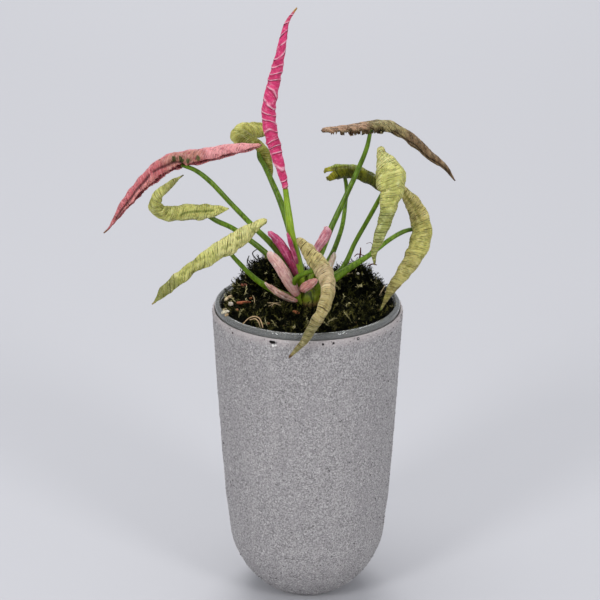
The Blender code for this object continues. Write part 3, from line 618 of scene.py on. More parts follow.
def leaf_material(name, colours, look, zones=(), spots=()):
    """The skin of an arrowhead leaf, rolled up and part dry: waxy, wrinkled along its side veins.

    Raised wrinkles and crumples get a painted highlight, pale lines on the young spear with a painted shadow
    just under each; furrows, hollows, fine wrinkles and folds get painted shade, thin dark lines on the drying
    leaves. Thin dry ends turn brown, and light shines a little in.
    """
    base, shade, light, dry = colours
    material, tree = new_material(name)
    uv = node(tree, "uv")
    relief = node(tree, "value", attribute_name="relief")
    along = node(tree, "value", attribute_name="along")
    across = node(tree, "value", attribute_name="across")
    crease = node(tree, "value", attribute_name="crease")
    furrow, crest, fine = wrinkles(tree, uv, look)
    colour = tinge(tree, base, shade, node(tree, "noise", uv, grain(7), 4), 0.4, 0.66, 0.5)
    for start, end, left, right, hex_colour, strength in zones:
        zone = node(tree, "multiply", band(tree, along, start, end, 0.035), band(tree, across, left, right, 0.12))
        colour = node(tree, "mix", node(tree, "multiply", zone, strength), colour, hex_colour)
    stretched = node(tree, "mapping", uv, (1, 0.25, 1))
    cross = node(tree, "noise", stretched, grain(0.8), 5, 0.65)
    colour = tinge(tree, colour, light, cross, 0.52, 0.75, 0.45)
    colour = tinge(tree, colour, shade, cross, 0.46, 0.3, 0.5)
    # Painted highlight on the raised crumples and painted shade in their hollows
    colour = tinge(tree, colour, light, relief, 0.65, 1.1, 0.5)
    colour = tinge(tree, colour, shade, relief, 0.42, 0.1, 0.7)
    # Painted shade in the troughs of the fine wrinkles
    colour = tinge(tree, colour, shade, fine, 0.2, 0.03, look["fine"])
    # Painted highlight on the crests of the side-vein wrinkles
    colour = node(tree, "mix", node(tree, "multiply", crest, look["crest"]), colour, light)
    # Painted shade in the furrows; on the spear it is moved to lie as a painted shadow just under each crest
    colour = node(tree, "mix", node(tree, "multiply", furrow, look["line"]), colour, look["furrow_shade"])
    for place, side, size, hex_colour, strength in spots:
        gap = node(tree, "distance", node(tree, "ShaderNodeCombineXYZ", X=along, Y=node(
            tree, "multiply", across, 0.1)), (place, side * 0.1, 0))
        torn = node(tree, "noise", node(tree, "mapping", uv, (1, 0.2, 1)), grain(1.3), 3, 0.6)
        edge = node(tree, "add", gap, node(tree, "multiply", torn, 2.2 * size))
        colour = tinge(tree, colour, hex_colour, edge, 1.75 * size, 1.45 * size, strength)
    # Painted shade in the long folds, such as the pink leaf's dark slit
    colour = tinge(tree, colour, look["fold"] or shade, crease, 0.25, 0.95, 0.8)
    ends = node(tree, "maximum", node(tree, "range", along, 0.96, 0.985, 0.0, 0.95),
                node(tree, "range", along, 0.025, 0.0, 0.0, 0.5))
    colour = node(tree, "mix", ends, colour, dry)
    normal = node(tree, "bump", cross, 0.25 * MM)
    normal = node(tree, "bump", fine, 0.3 * MM, normal)
    normal = node(tree, "bump", crest, 0.3 * MM, normal)
    normal = node(tree, "bump", furrow, -0.3 * MM, normal)
    return dress(material, colour, normal, Roughness=0.5, Specular_IOR_Level=0.22, Subsurface_Weight=0.06,
                 Subsurface_Scale=0.5 * MM)


def stalk_material(name, green, dark, foot):
    """A smooth living leaf stalk: a bright skin, darker along one side, pale and stained at its foot.

    The satin skin gives one long soft highlight down each stalk.
    """
    material, tree = new_material(name)
    place = node(tree, "place")
    along = node(tree, "value", attribute_name="along")
    stretched = node(tree, "mapping", place, (1, 1, 0.12))
    colour = tinge(tree, green, dark, node(tree, "noise", stretched, grain(0.9), 4), 0.35, 0.7)
    colour = tinge(tree, colour, dark, node(tree, "noise", place, grain(14)), 0.4, 0.65, 0.6)
    colour = tinge(tree, colour, foot, along, 0.2, 0.02, 0.75)
    colour = tinge(tree, colour, dark, along, 0.75, 1.0, 0.5)
    relief = node(tree, "bump", node(tree, "noise", stretched, grain(0.4)), 0.05 * MM)
    return dress(material, colour, relief, Roughness=0.36, Specular_IOR_Level=0.3, Subsurface_Weight=0.1,
                 Subsurface_Scale=1.0 * MM)


def sheath_material(name, base, vein, pale, foot):
    """A papery sheath at a stalk's base: thin dry skin with long darker veins and a pale torn end."""
    material, tree = new_material(name)
    uv = node(tree, "uv")
    along = node(tree, "value", attribute_name="along")
    relief = node(tree, "value", attribute_name="relief")
    lines = node(tree, "noise", node(tree, "mapping", uv, (0.12, 1, 1)), grain(0.7), 4, 0.6)
    specks = node(tree, "noise", uv, grain(0.8), 4, 0.7)
    colour = tinge(tree, base, vein, lines, 0.42, 0.62)
    colour = tinge(tree, colour, pale, node(tree, "noise", uv, grain(2.2), 4), 0.5, 0.7, 0.7)
    # Painted highlight on the raised ridges and crumples
    colour = tinge(tree, colour, pale, relief, 0.55, 0.95, 0.6)
    colour = tinge(tree, colour, pale, specks, 0.55, 0.68, 0.6)
    colour = tinge(tree, colour, vein, specks, 0.44, 0.33, 0.6)
    colour = tinge(tree, colour, foot, along, 0.25, 0.0, 0.7)
    colour = tinge(tree, colour, pale, along, 0.88, 1.0, 0.6)
    relief = node(tree, "bump", specks, 0.15 * MM, node(tree, "bump", lines, 0.12 * MM))
    return dress(material, colour, relief, Roughness=0.55, Specular_IOR_Level=0.3, Subsurface_Weight=0.2,
                 Subsurface_Scale=0.8 * MM)


# Air holes and a chip in the coat's shoulder: x, height and half width in mm, and colour; the near-black air holes
# are painted shade
PIT_SHADE = "1E1B1A"
COAT_PITS = (
    (-15.7, 134.9, 0.8, PIT_SHADE), (-15.0, 134.8, 0.9, PIT_SHADE), (-14.2, 134.9, 0.8, PIT_SHADE), (-14.7, 133.4, 0.9, "F4F2EE"),
    (-13.6, 133.7, 0.7, "F4F2EE"), (6.3, 134.9, 0.6, PIT_SHADE), (10.8, 135.0, 0.6, PIT_SHADE), (21.3, 135.2, 0.8, PIT_SHADE),
    (-32.1, 134.2, 0.6, "3A2422"), (-24.0, 132.8, 0.4, PIT_SHADE), (30.5, 133.2, 0.5, PIT_SHADE), (-3.0, 133.5, 0.35, PIT_SHADE),
)


def coat_material():
    """Rough sand and cement on the tumbler: pale dusty cement with light and dark sand grains.

    It has no gloss, and its pits and grains give the salt-and-pepper look and faint upright streaks; the air holes
    are painted near black as shade.
    """
    material, tree = new_material("sand_and_cement")
    place = node(tree, "place")
    streaks = node(tree, "mapping", place, (1, 1, 0.1))
    colour = tinge(tree, "858283", "BDBABA", node(tree, "noise", place, grain(0.75), 3, 0.7), 0.36, 0.66)
    colour = tinge(tree, colour, "565354", node(tree, "noise", place, grain(0.55), 2), 0.57, 0.66, 0.6)
    colour = tinge(tree, colour, "DEDBDA", node(tree, "noise", place, grain(0.6), 2), 0.4, 0.33, 0.6)
    colour = tinge(tree, colour, "9A9698", node(tree, "noise", place, grain(12), 3), 0.45, 0.7, 0.3)
    colour = tinge(tree, colour, "C9C4C3", node(tree, "noise", streaks, grain(5), 4), 0.45, 0.75, 0.15)
    height = node(tree, "split", place)
    colour = tinge(tree, colour, "BEB4B3", height, 0.1315, 0.1355, 0.6)
    normal = node(tree, "bump", node(tree, "noise", place, grain(2.6)), 0.6 * MM)
    normal = node(tree, "bump", node(tree, "noise", place, grain(1.0), 5, 0.65), 0.55 * MM, normal)
    # The pits' colours go on with a sunken bump; the near-black ones are painted shade in the air holes
    for x, height_mm, size, tint in COAT_PITS:
        y = -math.sqrt(42.0 ** 2 - x ** 2)
        gap = node(tree, "distance", place, (x * MM, y * MM, height_mm * MM))
        pit = node(tree, "range", gap, size * MM, size * 0.6 * MM)
        colour = node(tree, "mix", pit, colour, tint)
        normal = node(tree, "bump", pit, -0.8 * MM, normal)
    return dress(material, colour, normal, Roughness=0.95, Specular_IOR_Level=0.2)


def grain_material():
    """Quartz and stone sand caught in the cement: matte grains from near white to dark gray."""
    material, tree = new_material("sand_grain")
    tone = node(tree, "value", attribute_name="tone")
    colour = tinge(tree, "7B7879", "CAC7C7", tone, 0.25, 0.8)
    colour = tinge(tree, colour, "474445", tone, 0.12, 0.05)
    return dress(material, colour, None, Roughness=0.8)


def glass_material():
    """Soda-lime tumbler glass, hazed by cement dust: its rounded lip shows as a glossy gray band."""
    material, tree = new_material("clear_glass")
    surface = tree.nodes["Principled BSDF"]
    for name, value in (("Base Color", linear("C6C8C5")), ("Transmission Weight", 0.8), ("IOR", 1.5),
                        ("Roughness", 0.08)):
        surface.inputs[name].default_value = value
    return material


def peat_material():
    """Moist peat soil: near black brown crumbs with no shine."""
    material, tree = new_material("peat_soil")
    place = node(tree, "place")
    colour = tinge(tree, "15100B", "3A2C20", node(tree, "noise", place, grain(2.2), 5, 0.7), 0.4, 0.7)
    relief = node(tree, "bump", node(tree, "noise", place, grain(1.4), 5, 0.7), 0.8 * MM)
    return dress(material, colour, relief, Roughness=0.95)


def moss_floor_material():
    """The mat under the moss tips: damp moss, nearly black green and brown, partly painted shade deep among the
    shoots.
    """
    material, tree = new_material("moss_mat")
    place = node(tree, "place")
    colour = tinge(tree, "030401", "14150A", node(tree, "noise", place, grain(1.6), 5, 0.7), 0.42, 0.7)
    relief = node(tree, "bump", node(tree, "noise", place, grain(1.2), 5, 0.75), 0.9 * MM)
    return dress(material, colour, relief, Roughness=0.9, Specular_IOR_Level=0.05)


def moss_material(name, dark, middle, bright):
    """Sheet moss, part dry: fine dull leaflets from nearly black green to olive, some tips paler."""
    material, tree = new_material(name)
    tone = node(tree, "value", attribute_name="tone")
    patches = node(tree, "noise", node(tree, "place"), grain(7), 2)
    colour = tinge(tree, dark, middle, tone, 0.15, 0.75)
    colour = tinge(tree, colour, bright, tone, 0.8, 1.0)
    colour = tinge(tree, colour, dark, patches, 0.5, 0.72, 0.55)
    return dress(material, colour, None, Roughness=0.7, Specular_IOR_Level=0.05)


def tinted_material(name, roughness):
    """Wood, husk or stone in its own tint, with a grain of lighter and darker streaks."""
    material, tree = new_material(name)
    place = node(tree, "place")
    tint = node(tree, "value", attribute_name="tint", out="Color")
    dark = node(tree, "tinted", 0.75, tint, "2A1A10")
    colour = tinge(tree, tint, dark, node(tree, "noise", place, grain(0.8), 4, 0.6), 0.4, 0.72, 0.7)
    relief = node(tree, "bump", node(tree, "noise", place, grain(0.5), 4), 0.15 * MM)
    return dress(material, colour, relief, Roughness=roughness)


def wall_radius(height):
    """The coat's outer radius at a height over the foot, in mm."""
    if height >= BELLY_HEIGHT:
        radii = ((BELLY_RADIUS, BELLY_HEIGHT),) + WALL[::-1]
        return float(np.interp(height, [z for r, z in radii], [r for r, z in radii]))
    return BELLY_RADIUS * math.sqrt(max(1 - ((BELLY_HEIGHT - height) / BELLY_DEPTH) ** 2, 0))


def lathe(name, profile, steps, wave=0.0, seed=0.0, material=None):
    """A closed turned body from an (r, z) outline in mm that starts and ends on the axis."""
    points = [(0, 0, profile[0][1] * MM)]
    for r, z in profile[1:-1]:
        for i in range(steps):
            angle = 2 * math.pi * i / steps
            x = math.cos(angle)
            y = math.sin(angle)
            push = wave * rough(x * 2.6 + seed, y * 2.6, z * 0.07) + wave * 0.5 * rough(x * 9, y * 9 + seed, z * 0.3)
            points.append((x * (r + push) * MM, y * (r + push) * MM, z * MM))
    points.append((0, 0, profile[-1][1] * MM))
    rings = len(profile) - 2
    faces = []
    for i in range(steps):
        after = (i + 1) % steps
        faces.append((0, 1 + i, 1 + after))
        for k in range(rings - 1):
            low = 1 + k * steps
            high = low + steps
            faces.append((low + i, high + i, high + after, low + after))
        last = 1 + (rings - 1) * steps
        faces.append((last + i, len(points) - 1, last + after))
    mesh = mesh_from(name, points, faces)
    bm = bmesh.new()
    bm.from_mesh(mesh)
    bmesh.ops.recalc_face_normals(bm, faces=bm.faces)
    bm.to_mesh(mesh)
    bm.free()
    return link_object(name, mesh, material)


def ring_of(height, inset):
    return (wall_radius(height) - inset, height)


def make_coat(settings):
    """The sand coat's uneven shell, then its grains."""
    top = 136.2
    side = [(wall_radius(z) - 0.55 * max(1 - (top - z) / 1.6, 0) ** 2, z) for z in np.linspace(top - 0.2, 0.35, 110)]
    inner_top = 42 - COAT_THICK
    inner = [ring_of(z, COAT_THICK) for z in np.linspace(4, top - 0.6, 24)]
    foot = wall_radius(0)
    profile = [(0, COAT_THICK), (foot - 1.5, COAT_THICK)] + inner
    profile += [(inner_top, top - 0.15), (inner_top + 0.15, top), (inner_top + 0.4, top)]
    profile += side + [(foot - 0.3, 0.05), (foot - 1.0, 0), (0, 0)]
    coat = lathe("coat_shell", profile, 300, 0.0, 0.0, coat_material())
    for vert in coat.data.vertices:
        place = vert.co / MM
        radius = math.hypot(place.x, place.y)
        outer = radius > wall_radius(place.z) - 0.3 and 1.5 < place.z < top - 0.2
        if outer:
            push = 0.22 * rough(place.x * 0.16, place.y * 0.16, place.z * 0.1)
            push += 0.16 * rough(place.x * 0.7, place.y * 0.7, place.z * 0.5)
            vert.co.x *= 1 + push / radius
            vert.co.y *= 1 + push / radius
    finish_piece(coat, ["sand_coat"])
    outline = [(0, top - 4.5), *[ring_of(z, 0.12) for z in np.linspace(top - 0.6, 1.6, 60)], (0, 1.6)]
    guide = lathe("grain_guide", outline, 96)
    grains = grain_meshes("grain", 6, settings.grain_size, 21)
    tree = scatter_tree("sand_grains", grain_material())
    use_tree(guide, tree, Density=settings.grain_density, Seed=4, Shapes=grains, Smallest=0.45, Largest=1.25,
             Lean=3.1)
    keep_outside(guide, 0.6, top)
    guide.name = "coat_grains"
    remove_collection(grains)
    finish_piece(guide)


def keep_outside(obj, low, high):
    """Drops whole grains that lie outside a range of heights or far inside the wall, in mm."""
    bm = bmesh.new()
    bm.from_mesh(obj.data)
    drop = []
    for vert in bm.verts:
        x, y, z = vert.co / MM
        if z < low or z > high or math.hypot(x, y) < wall_radius(z) - 2.5:
            drop.append(vert)
    bmesh.ops.delete(bm, geom=drop, context="VERTS")
    loose = [v for v in bm.verts if not v.link_faces]
    bmesh.ops.delete(bm, geom=loose, context="VERTS")
    open_edges = [e for e in bm.edges if e.is_boundary]
    islands = set()
    for edge in open_edges:
        islands.update(edge.verts)
    grow = set(islands)
    while grow:
        near = {e.other_vert(v) for v in grow for e in v.link_edges} - islands
        islands |= near
        grow = near
    bmesh.ops.delete(bm, geom=list(islands), context="VERTS")
    bm.to_mesh(obj.data)
    bm.free()


def grain_meshes(name, count, size, seed):
    """A collection of small uneven eight-sided grains, kept out of the scene."""
    rng = random.Random(seed)
    group = bpy.data.collections.new(name + "_shapes")
    for k in range(count):
        corners = [(1, 0, 0), (-1, 0, 0), (0, 1, 0), (0, -1, 0), (0, 0, 1), (0, 0, -1)]
        points = [Vector(c) * rng.uniform(0.7, 1.25) * size for c in corners]
        faces = [(0, 2, 4), (2, 1, 4), (1, 3, 4), (3, 0, 4), (2, 0, 5), (1, 2, 5), (3, 1, 5), (0, 3, 5)]
        mesh = mesh_from(f"{name}_{k}", points, faces, smooth=False)
        group.objects.link(bpy.data.objects.new(f"{name}_{k}", mesh))
    return group


def remove_collection(group):
    for obj in list(group.objects):
        bpy.data.objects.remove(obj)
    bpy.data.collections.remove(group)


def scatter_tree(name, material):
    """Geometry Nodes that strew shapes over a surface, each turned and sized at random, with a tone."""
    tree, given = new_tree(name, [
        ("Density", "NodeSocketFloat", 1.0), ("Seed", "NodeSocketInt", 0),
        ("Shapes", "NodeSocketCollection", None), ("Smallest", "NodeSocketFloat", 0.5),
        ("Largest", "NodeSocketFloat", 1.0), ("Lean", "NodeSocketFloat", 0.5),
    ])
    points = node(tree, "GeometryNodeDistributePointsOnFaces", Mesh=given["Geometry"],
                  Density=given["Density"], Seed=given["Seed"])
    shapes = node(tree, "GeometryNodeCollectionInfo", transform_space="ORIGINAL", Collection=given["Shapes"],
                  **{"Separate Children": True, "Reset Children": True})
    back = node(tree, "multiply", given["Lean"], -1.0)
    lean = [node(tree, "random", back, given["Lean"], seed) for seed in (3, 4)]
    twist = node(tree, "ShaderNodeCombineXYZ", X=lean[0], Y=lean[1], Z=node(tree, "random", 0.0, math.tau, 2))
    turned = node(tree, "FunctionNodeRotateEuler", space="LOCAL", Rotation=points.node.outputs["Rotation"],
                  **{"Rotate By": twist})
    placed = node(tree, "GeometryNodeInstanceOnPoints", Points=points, Instance=shapes, Rotation=turned,
                  Scale=node(tree, "random", given["Smallest"], given["Largest"], 1),
                  **{"Pick Instance": True})
    toned = node(tree, "GeometryNodeStoreNamedAttribute", domain="INSTANCE", data_type="FLOAT",
                 Geometry=placed, Name="tone", Value=node(tree, "random", 0.0, 1.0, 5))
    return close_tree(tree, toned, material)


def make_glass():
    """The tumbler with its rounded, fire-polished lip."""
    skin = COAT_THICK + 0.3
    top = 136.2
    lip = 42 - skin + 0.1
    bore = lip - LIP_WALL
    rise = RIM - LIP_WALL / 2
    bead = [(bore + (lip - bore) * (1 - math.cos(a)) / 2, rise + LIP_WALL / 2 * math.sin(a)) for a in
            np.linspace(0, math.pi, 18)]
    inside = [(wall_radius(z) - skin - GLASS_WALL, z) for z in np.linspace(9, 134.5, 40)]
    outside = [(wall_radius(z) - skin, z) for z in np.linspace(top - 0.2, 3.5, 40)]
    profile = [(0, 6), (14, 6.2), (20, 7)] + inside + bead + [(lip, top + 0.5)] + outside
    profile += [(wall_radius(0) - 2.6, 1.7), (0, skin)]
    glass = lathe("tumbler", profile, 160, 0.0, 0.0, glass_material())
    finish_piece(glass, ["glass_tumbler"])


def moss_height(x, y, rim=38.6):
    """The moss over the rim in mm: the part's mounds and ripples."""
    height = 0.0
    for mx, my, spread, rise in ((-19, 18, 8.5, 14), (23, 13, 8, 12.5), (2, 20, 9, 4)):
        height += rise * math.exp(-((x - mx) ** 2 + (y - my) ** 2) / (2 * spread ** 2))
    bent = x * 0.9 + 1.3 * math.sin(y * 0.55)
    height += 0.7 * (math.sin(bent) + math.cos(y * 1.1 + x * 0.3))
    inside = 1 - (math.hypot(x, y) / rim) ** 6
    return -1.6 + (height + 1.2) * max(inside, 0)


def make_moss(settings):
    """The moss mat with its fine shoots."""
    low = -8.5
    rings = 64
    steps = 180
    profile = [(0, RIM)] + [(37.9 * k / rings, RIM) for k in range(1, rings + 1)]
    profile += [(37.6, RIM + low), (0, RIM + low)]
    mat = lathe("moss_mat", profile, steps, 0.0, 0.0, moss_floor_material())
    for vert in mat.data.vertices:
        x, y, z = vert.co / MM
        if z > RIM - 1:
            lumps = 1.3 * rough(x * 0.32, y * 0.32) + 0.8 * rough(x * 0.9, y * 0.9, 3)
            wall = smoothstep(33.5, 38.3, math.hypot(x, y))
            sunk = (2.4 if x < 0 else 1.2) * wall * (0.7 + rough(x * 0.2, y * 0.2, 7))
            vert.co.z = (RIM + moss_height(x, y) - 0.3 + lumps * (1 - wall) - sunk) * MM
    finish_piece(mat, ["moss_cushion"])
    shoots = moss_shoots("shoot", 7, settings.shoot_length, 5)
    for index, (label, colours, density) in enumerate((
            ("moss_dark", ("030401", "15180A", "4A4A22"), 0.9),
            ("moss_olive", ("26280F", "6E6A38", "D6CC98"), 0.3))):
        guide = link_object(label, mat.data.copy())
        keep_top(guide, RIM - 5)
        tree = scatter_tree(label + "_strew", moss_material(label, *colours))
        use_tree(guide, tree, Density=settings.shoot_density * density, Seed=11 + index, Shapes=shoots,
                 Smallest=0.5, Largest=1.2, Lean=1.1)
        finish_piece(guide)
    remove_collection(shoots)


def keep_top(obj, height):
    """Leaves only the upward faces over a height in mm."""
    bm = bmesh.new()
    bm.from_mesh(obj.data)
    middle = {f: f.calc_center_median() for f in bm.faces}
    drop = [f for f, c in middle.items() if c.z < height * MM or f.normal.z < 0.05 or c.xy.length > 36.4 * MM]
    bmesh.ops.delete(bm, geom=drop, context="FACES")
    bm.to_mesh(obj.data)
    bm.free()


def moss_shoots(name, count, length, seed):
    """Small feathery shoots: a bent stem and leaflets, each a closed sliver."""
    rng = random.Random(seed)
    group = bpy.data.collections.new(name + "_shapes")
    for k in range(count):
        points = []
        faces = []
        bend = rng.uniform(-0.6, 0.6)
        spine = [Vector((bend * t * t * length * 0.5, 0.25 * length * t * t, length * t)) for t in (0, 0.5, 1)]
        for centre, width in zip(spine, (0.14, 0.11, 0.05)):
            for i in range(3):
                angle = 2 * math.pi * i / 3
                points.append(centre + Vector((math.cos(angle), math.sin(angle), 0)) * width * MM)
        for ring in (0, 3):
            for i in range(3):
                after = (i + 1) % 3
                faces.append((ring + i, ring + after, ring + 3 + after, ring + 3 + i))
        faces += [(2, 1, 0), (6, 7, 8)]
        for leaf in range(9):
            t = 0.15 + 0.85 * leaf / 8
            root = spine[0].lerp(spine[1], t * 2) if t < 0.5 else spine[1].lerp(spine[2], t * 2 - 1)
            angle = leaf * 2.4 + rng.uniform(-0.4, 0.4)
            out = Vector((math.cos(angle), math.sin(angle), rng.uniform(0.2, 1.1))).normalized()
            side = out.cross(Vector((0, 0, 1))).normalized()
            reach = (1.5 - 0.6 * t) * rng.uniform(0.8, 1.3) * MM
            at = len(points)
            points += [root - side * 0.24 * MM, root + side * 0.24 * MM,
                       root + out.cross(side) * 0.07 * MM + out * 0.25 * reach, root + out * reach]
            faces += [(at, at + 1, at + 3), (at + 1, at + 2, at + 3), (at + 2, at, at + 3), (at + 1, at, at + 2)]
        mesh = mesh_from(f"{name}_{k}", points, faces, smooth=False)
        outward(mesh)
        group.objects.link(bpy.data.objects.new(f"{name}_{k}", mesh))
    return group


def outward(mesh):
    bm = bmesh.new()
    bm.from_mesh(mesh)
    bmesh.ops.recalc_face_normals(bm, faces=bm.faces)
    bm.to_mesh(mesh)
    bm.free()


def tube_tree(name, material):
    """Geometry Nodes that sweep a round section, sized by the points' width, along a path."""
    tree, given = new_tree(name, [
        ("Sides", "NodeSocketInt", 12), ("Unevenness", "NodeSocketFloat", 0.0),
        ("Grain", "NodeSocketFloat", 300.0),
    ])
    path = node(tree, "GeometryNodeMeshToCurve", Mesh=given["Geometry"])
    width = node(tree, "GeometryNodeInputNamedAttribute", data_type="FLOAT", Name="width")
    section = node(tree, "GeometryNodeCurvePrimitiveCircle", Resolution=given["Sides"], Radius=1.0)
    swept = node(tree, "GeometryNodeCurveToMesh", Curve=path, Scale=width,
                 **{"Profile Curve": section, "Fill Caps": True})
    waves = node(tree, "noise", node(tree, "GeometryNodeInputPosition"), given["Grain"])
    push = node(tree, "multiply", node(tree, "subtract", waves, 0.5), given["Unevenness"])
    offset = node(tree, "ShaderNodeVectorMath", operation="SCALE", Vector=node(tree, "GeometryNodeInputNormal"),
                  Scale=push)
    moved = node(tree, "GeometryNodeSetPosition", Geometry=swept, Offset=offset)
    return close_tree(tree, node(tree, "GeometryNodeSetShadeSmooth", Geometry=moved), material)


def path_object(name, routes, samples, tint=None):
    """Polylines in mm over the rim, with each point's width and share of the way as attributes."""
    points = []
    edges = []
    widths = []
    along = []
    for route in routes:
        path, _ = smooth_path(route, samples)
        at = len(points)
        for k, (x, y, z, radius) in enumerate(path):
            points.append(above_rim((x, y, z)))
            widths.append(radius * MM)
            along.append(k / samples)
        edges += [(at + k, at + k + 1) for k in range(samples)]
    mesh = bpy.data.meshes.new(name)
    mesh.from_pydata(points, edges, [])
    mesh.attributes.new("width", "FLOAT", "POINT").data.foreach_set("value", widths)
    mesh.attributes.new("along", "FLOAT", "POINT").data.foreach_set("value", along)
    if tint:
        colours = mesh.attributes.new("tint", "FLOAT_COLOR", "POINT")
        colours.data.foreach_set("color", linear(tint) * len(points))
    return link_object(name, mesh)


def make_stalks():
    """The ten leaf stalks, each swept along its route with a wider clasping foot."""
    plain = tube_tree("stalk_sweep", stalk_material("leaf_stalk", "709022", "466206", "7A7A2A"))
    spear = tube_tree("spear_stalk_sweep", stalk_material("spear_stalk", "94B02A", "76941F", "70761E"))
    for name, leaf in LEAVES.items():
        route = stalk_route(leaf, Roll(leaf, 140))
        stalk = path_object("stem_" + name, [route], 110)
        widths = stalk.data.attributes["width"].data
        for k, item in enumerate(widths):
            item.value *= 1 + 0.25 * math.exp(-k / 9)
        use_tree(stalk, spear if name == "spear" else plain, Sides=20, Unevenness=0.12 * MM, Grain=260.0)
        outward(stalk.data)
        finish_piece(stalk, ["stalk_" + name])


def crown_material():
    """The stubby crown: olive green living tissue that turns red brown, with scars, at the moss."""
    material, tree = new_material("crown")
    place = node(tree, "place")
    streak = node(tree, "noise", node(tree, "mapping", place, (1, 1, 0.25)), grain(1.2), 4)
    colour = tinge(tree, "626E12", "2C3604", streak, 0.38, 0.66)
    colour = tinge(tree, colour, "6A4A2C", node(tree, "split", place), 0.1425, 0.1395, 0.85)
    colour = tinge(tree, colour, "A4503E", node(tree, "noise", place, grain(2.4), 4), 0.6, 0.74, 0.6)
    return dress(material, colour, node(tree, "bump", streak, 0.3 * MM), Roughness=0.5, Specular_IOR_Level=0.2)


def make_crown():
    """The crown's body, swollen under each stalk's foot."""
    outline = ((0, 9.4), (1.9, 8.9), (3.5, 7.2), (4.6, 4.4), (5.2, 1), (5.2, -3), (4.4, -10), (3, -18),
               (1.4, -24), (0, -25))
    heights = [z for r, z in outline][::-1]
    radii = [r for r, z in outline][::-1]
    fine = [9.4 - 34.4 * (k / 70) ** 1.2 for k in range(71)]
    profile = [(float(np.interp(z, heights, radii)), z + RIM) for z in fine]
    profile[0] = (0, profile[0][1])
    profile[-1] = (0, profile[-1][1])
    crown = lathe("crown", profile, 72, 0.0, 0.0, crown_material())
    for vert in crown.data.vertices:
        x, y, z = vert.co / MM
        angle = math.atan2(y, x)
        swell = 0.35 * math.sin(5 * angle + 0.25 * z) + 0.25 * rough(x * 0.9, y * 0.9, z * 0.5)
        reach = max(math.hypot(x, y), 0.5)
        vert.co.x = (x * (1 + swell / reach) + 0.5) * MM
        vert.co.y = (y * (1 + swell / reach) - 4) * MM
    finish_piece(crown, ["crown_stem"])


# How a blade is wrinkled: lean, spacing in mm and waviness of its side veins, how high their crests are
# in mm, how much the crests' painted highlight and the painted shade in the furrows and fine wrinkles show,
# the colour and place of the furrows' painted shade, torn edge (from, to, amount), crumpling, long folds
# (from, to, across there, width and depth in mm) with the colour of their painted shade, how far it wraps,
# and where the seam is turned
LOOK = {"slant": 0.4, "pitch": 1.8, "drift": 0.5, "ridge": 0.12, "crest": 0.25, "line": 0.6, "fine": 0.3,
        "furrow_shade": "5A5828", "under": 0.0, "ragged": (0, 1, 0.06), "crumple": 1.2, "creases": (), "fold": None,
        "wrap": 1, "twist": ()}
LOOKS = {
    "spear": {"slant": -0.25, "pitch": 4.4, "drift": 1.1, "ridge": 0.4, "crest": 0.85, "line": 0.55,
              "fine": 0.5, "furrow_shade": "A01E48", "under": 0.66, "crumple": 0.9},
    "folded": {"pitch": 2.2, "crumple": 1.3, "line": 0.45, "creases": ((0.3, 0.6, 0.35, 0.2, 0.9, 0.6),)},
    "brown": {"slant": 1.3, "pitch": 1.7, "ragged": (0.06, 0.42, 0.9), "furrow_shade": "4A3A24", "line": 0.5,
              "fold": "3A2C1E", "creases": ((0.45, 0.97, -0.93, -0.84, 0.6, 0.8),)},
    "pink": {"slant": 0.5, "pitch": 1.9, "ragged": (0.4, 1, 0.14), "crumple": 1.0, "furrow_shade": "A45A60", "line": 0.3,
             "crest": 0.4, "fold": "4E2428",
             "creases": ((0.42, 0.6, 0.94, 0.6, 0.9, 1.1), (0.6, 0.92, 0.6, 0.86, 0.9, 1.1))},
    "dark": {"pitch": 2.2, "ragged": (0, 1, 0.1), "furrow_shade": "2C300C", "fold": "23260A"},
    "broad": {"slant": 0.3, "pitch": 1.5, "ridge": 0.16, "furrow_shade": "6E6A34", "line": 0.75, "fold": "5A5428",
              "creases": ((0.12, 0.5, 0.62, 0.55, 0.8, 0.7),)},
    "right": {"slant": 0.35, "pitch": 1.6, "furrow_shade": "6A6434", "line": 0.65,
              "creases": ((0.03, 0.3, -0.6, -0.45, 0.9, 0.5),)},
    "hooked": {"slant": 0.4, "pitch": 2.0, "crumple": 1.5, "furrow_shade": "6A6C30", "line": 0.5, "wrap": 1.15,
               "twist": ((0.4, 1.1, 32),), "fold": "6A7430", "creases": ((0.1, 0.42, 0.25, 0.3, 0.6, 0.4),)},
    "lower": {"slant": 0.8, "pitch": 2.5, "drift": 1.0, "crumple": 1.5, "furrow_shade": "4E4C22", "line": 0.75},
    "front": {"slant": 0.12, "pitch": 2.6, "drift": 0.7, "ragged": (0, 1, 0.08), "furrow_shade": "46381F", "line": 0.8},
}

# Small stains: place along and across the blade, size as a share of the length, colour and strength
SPOTS = {
    "pink": ((0.43, 0.78, 0.035, "3A4A1A", 0.95), (0.39, 0.85, 0.03, "3A4A1A", 0.95),
             (0.47, 0.7, 0.03, "3A4A1A", 0.9), (0.34, 0.85, 0.025, "4A5524", 0.9),
             (0.53, 0.3, 0.012, "5A5A2A", 0.9)),
}

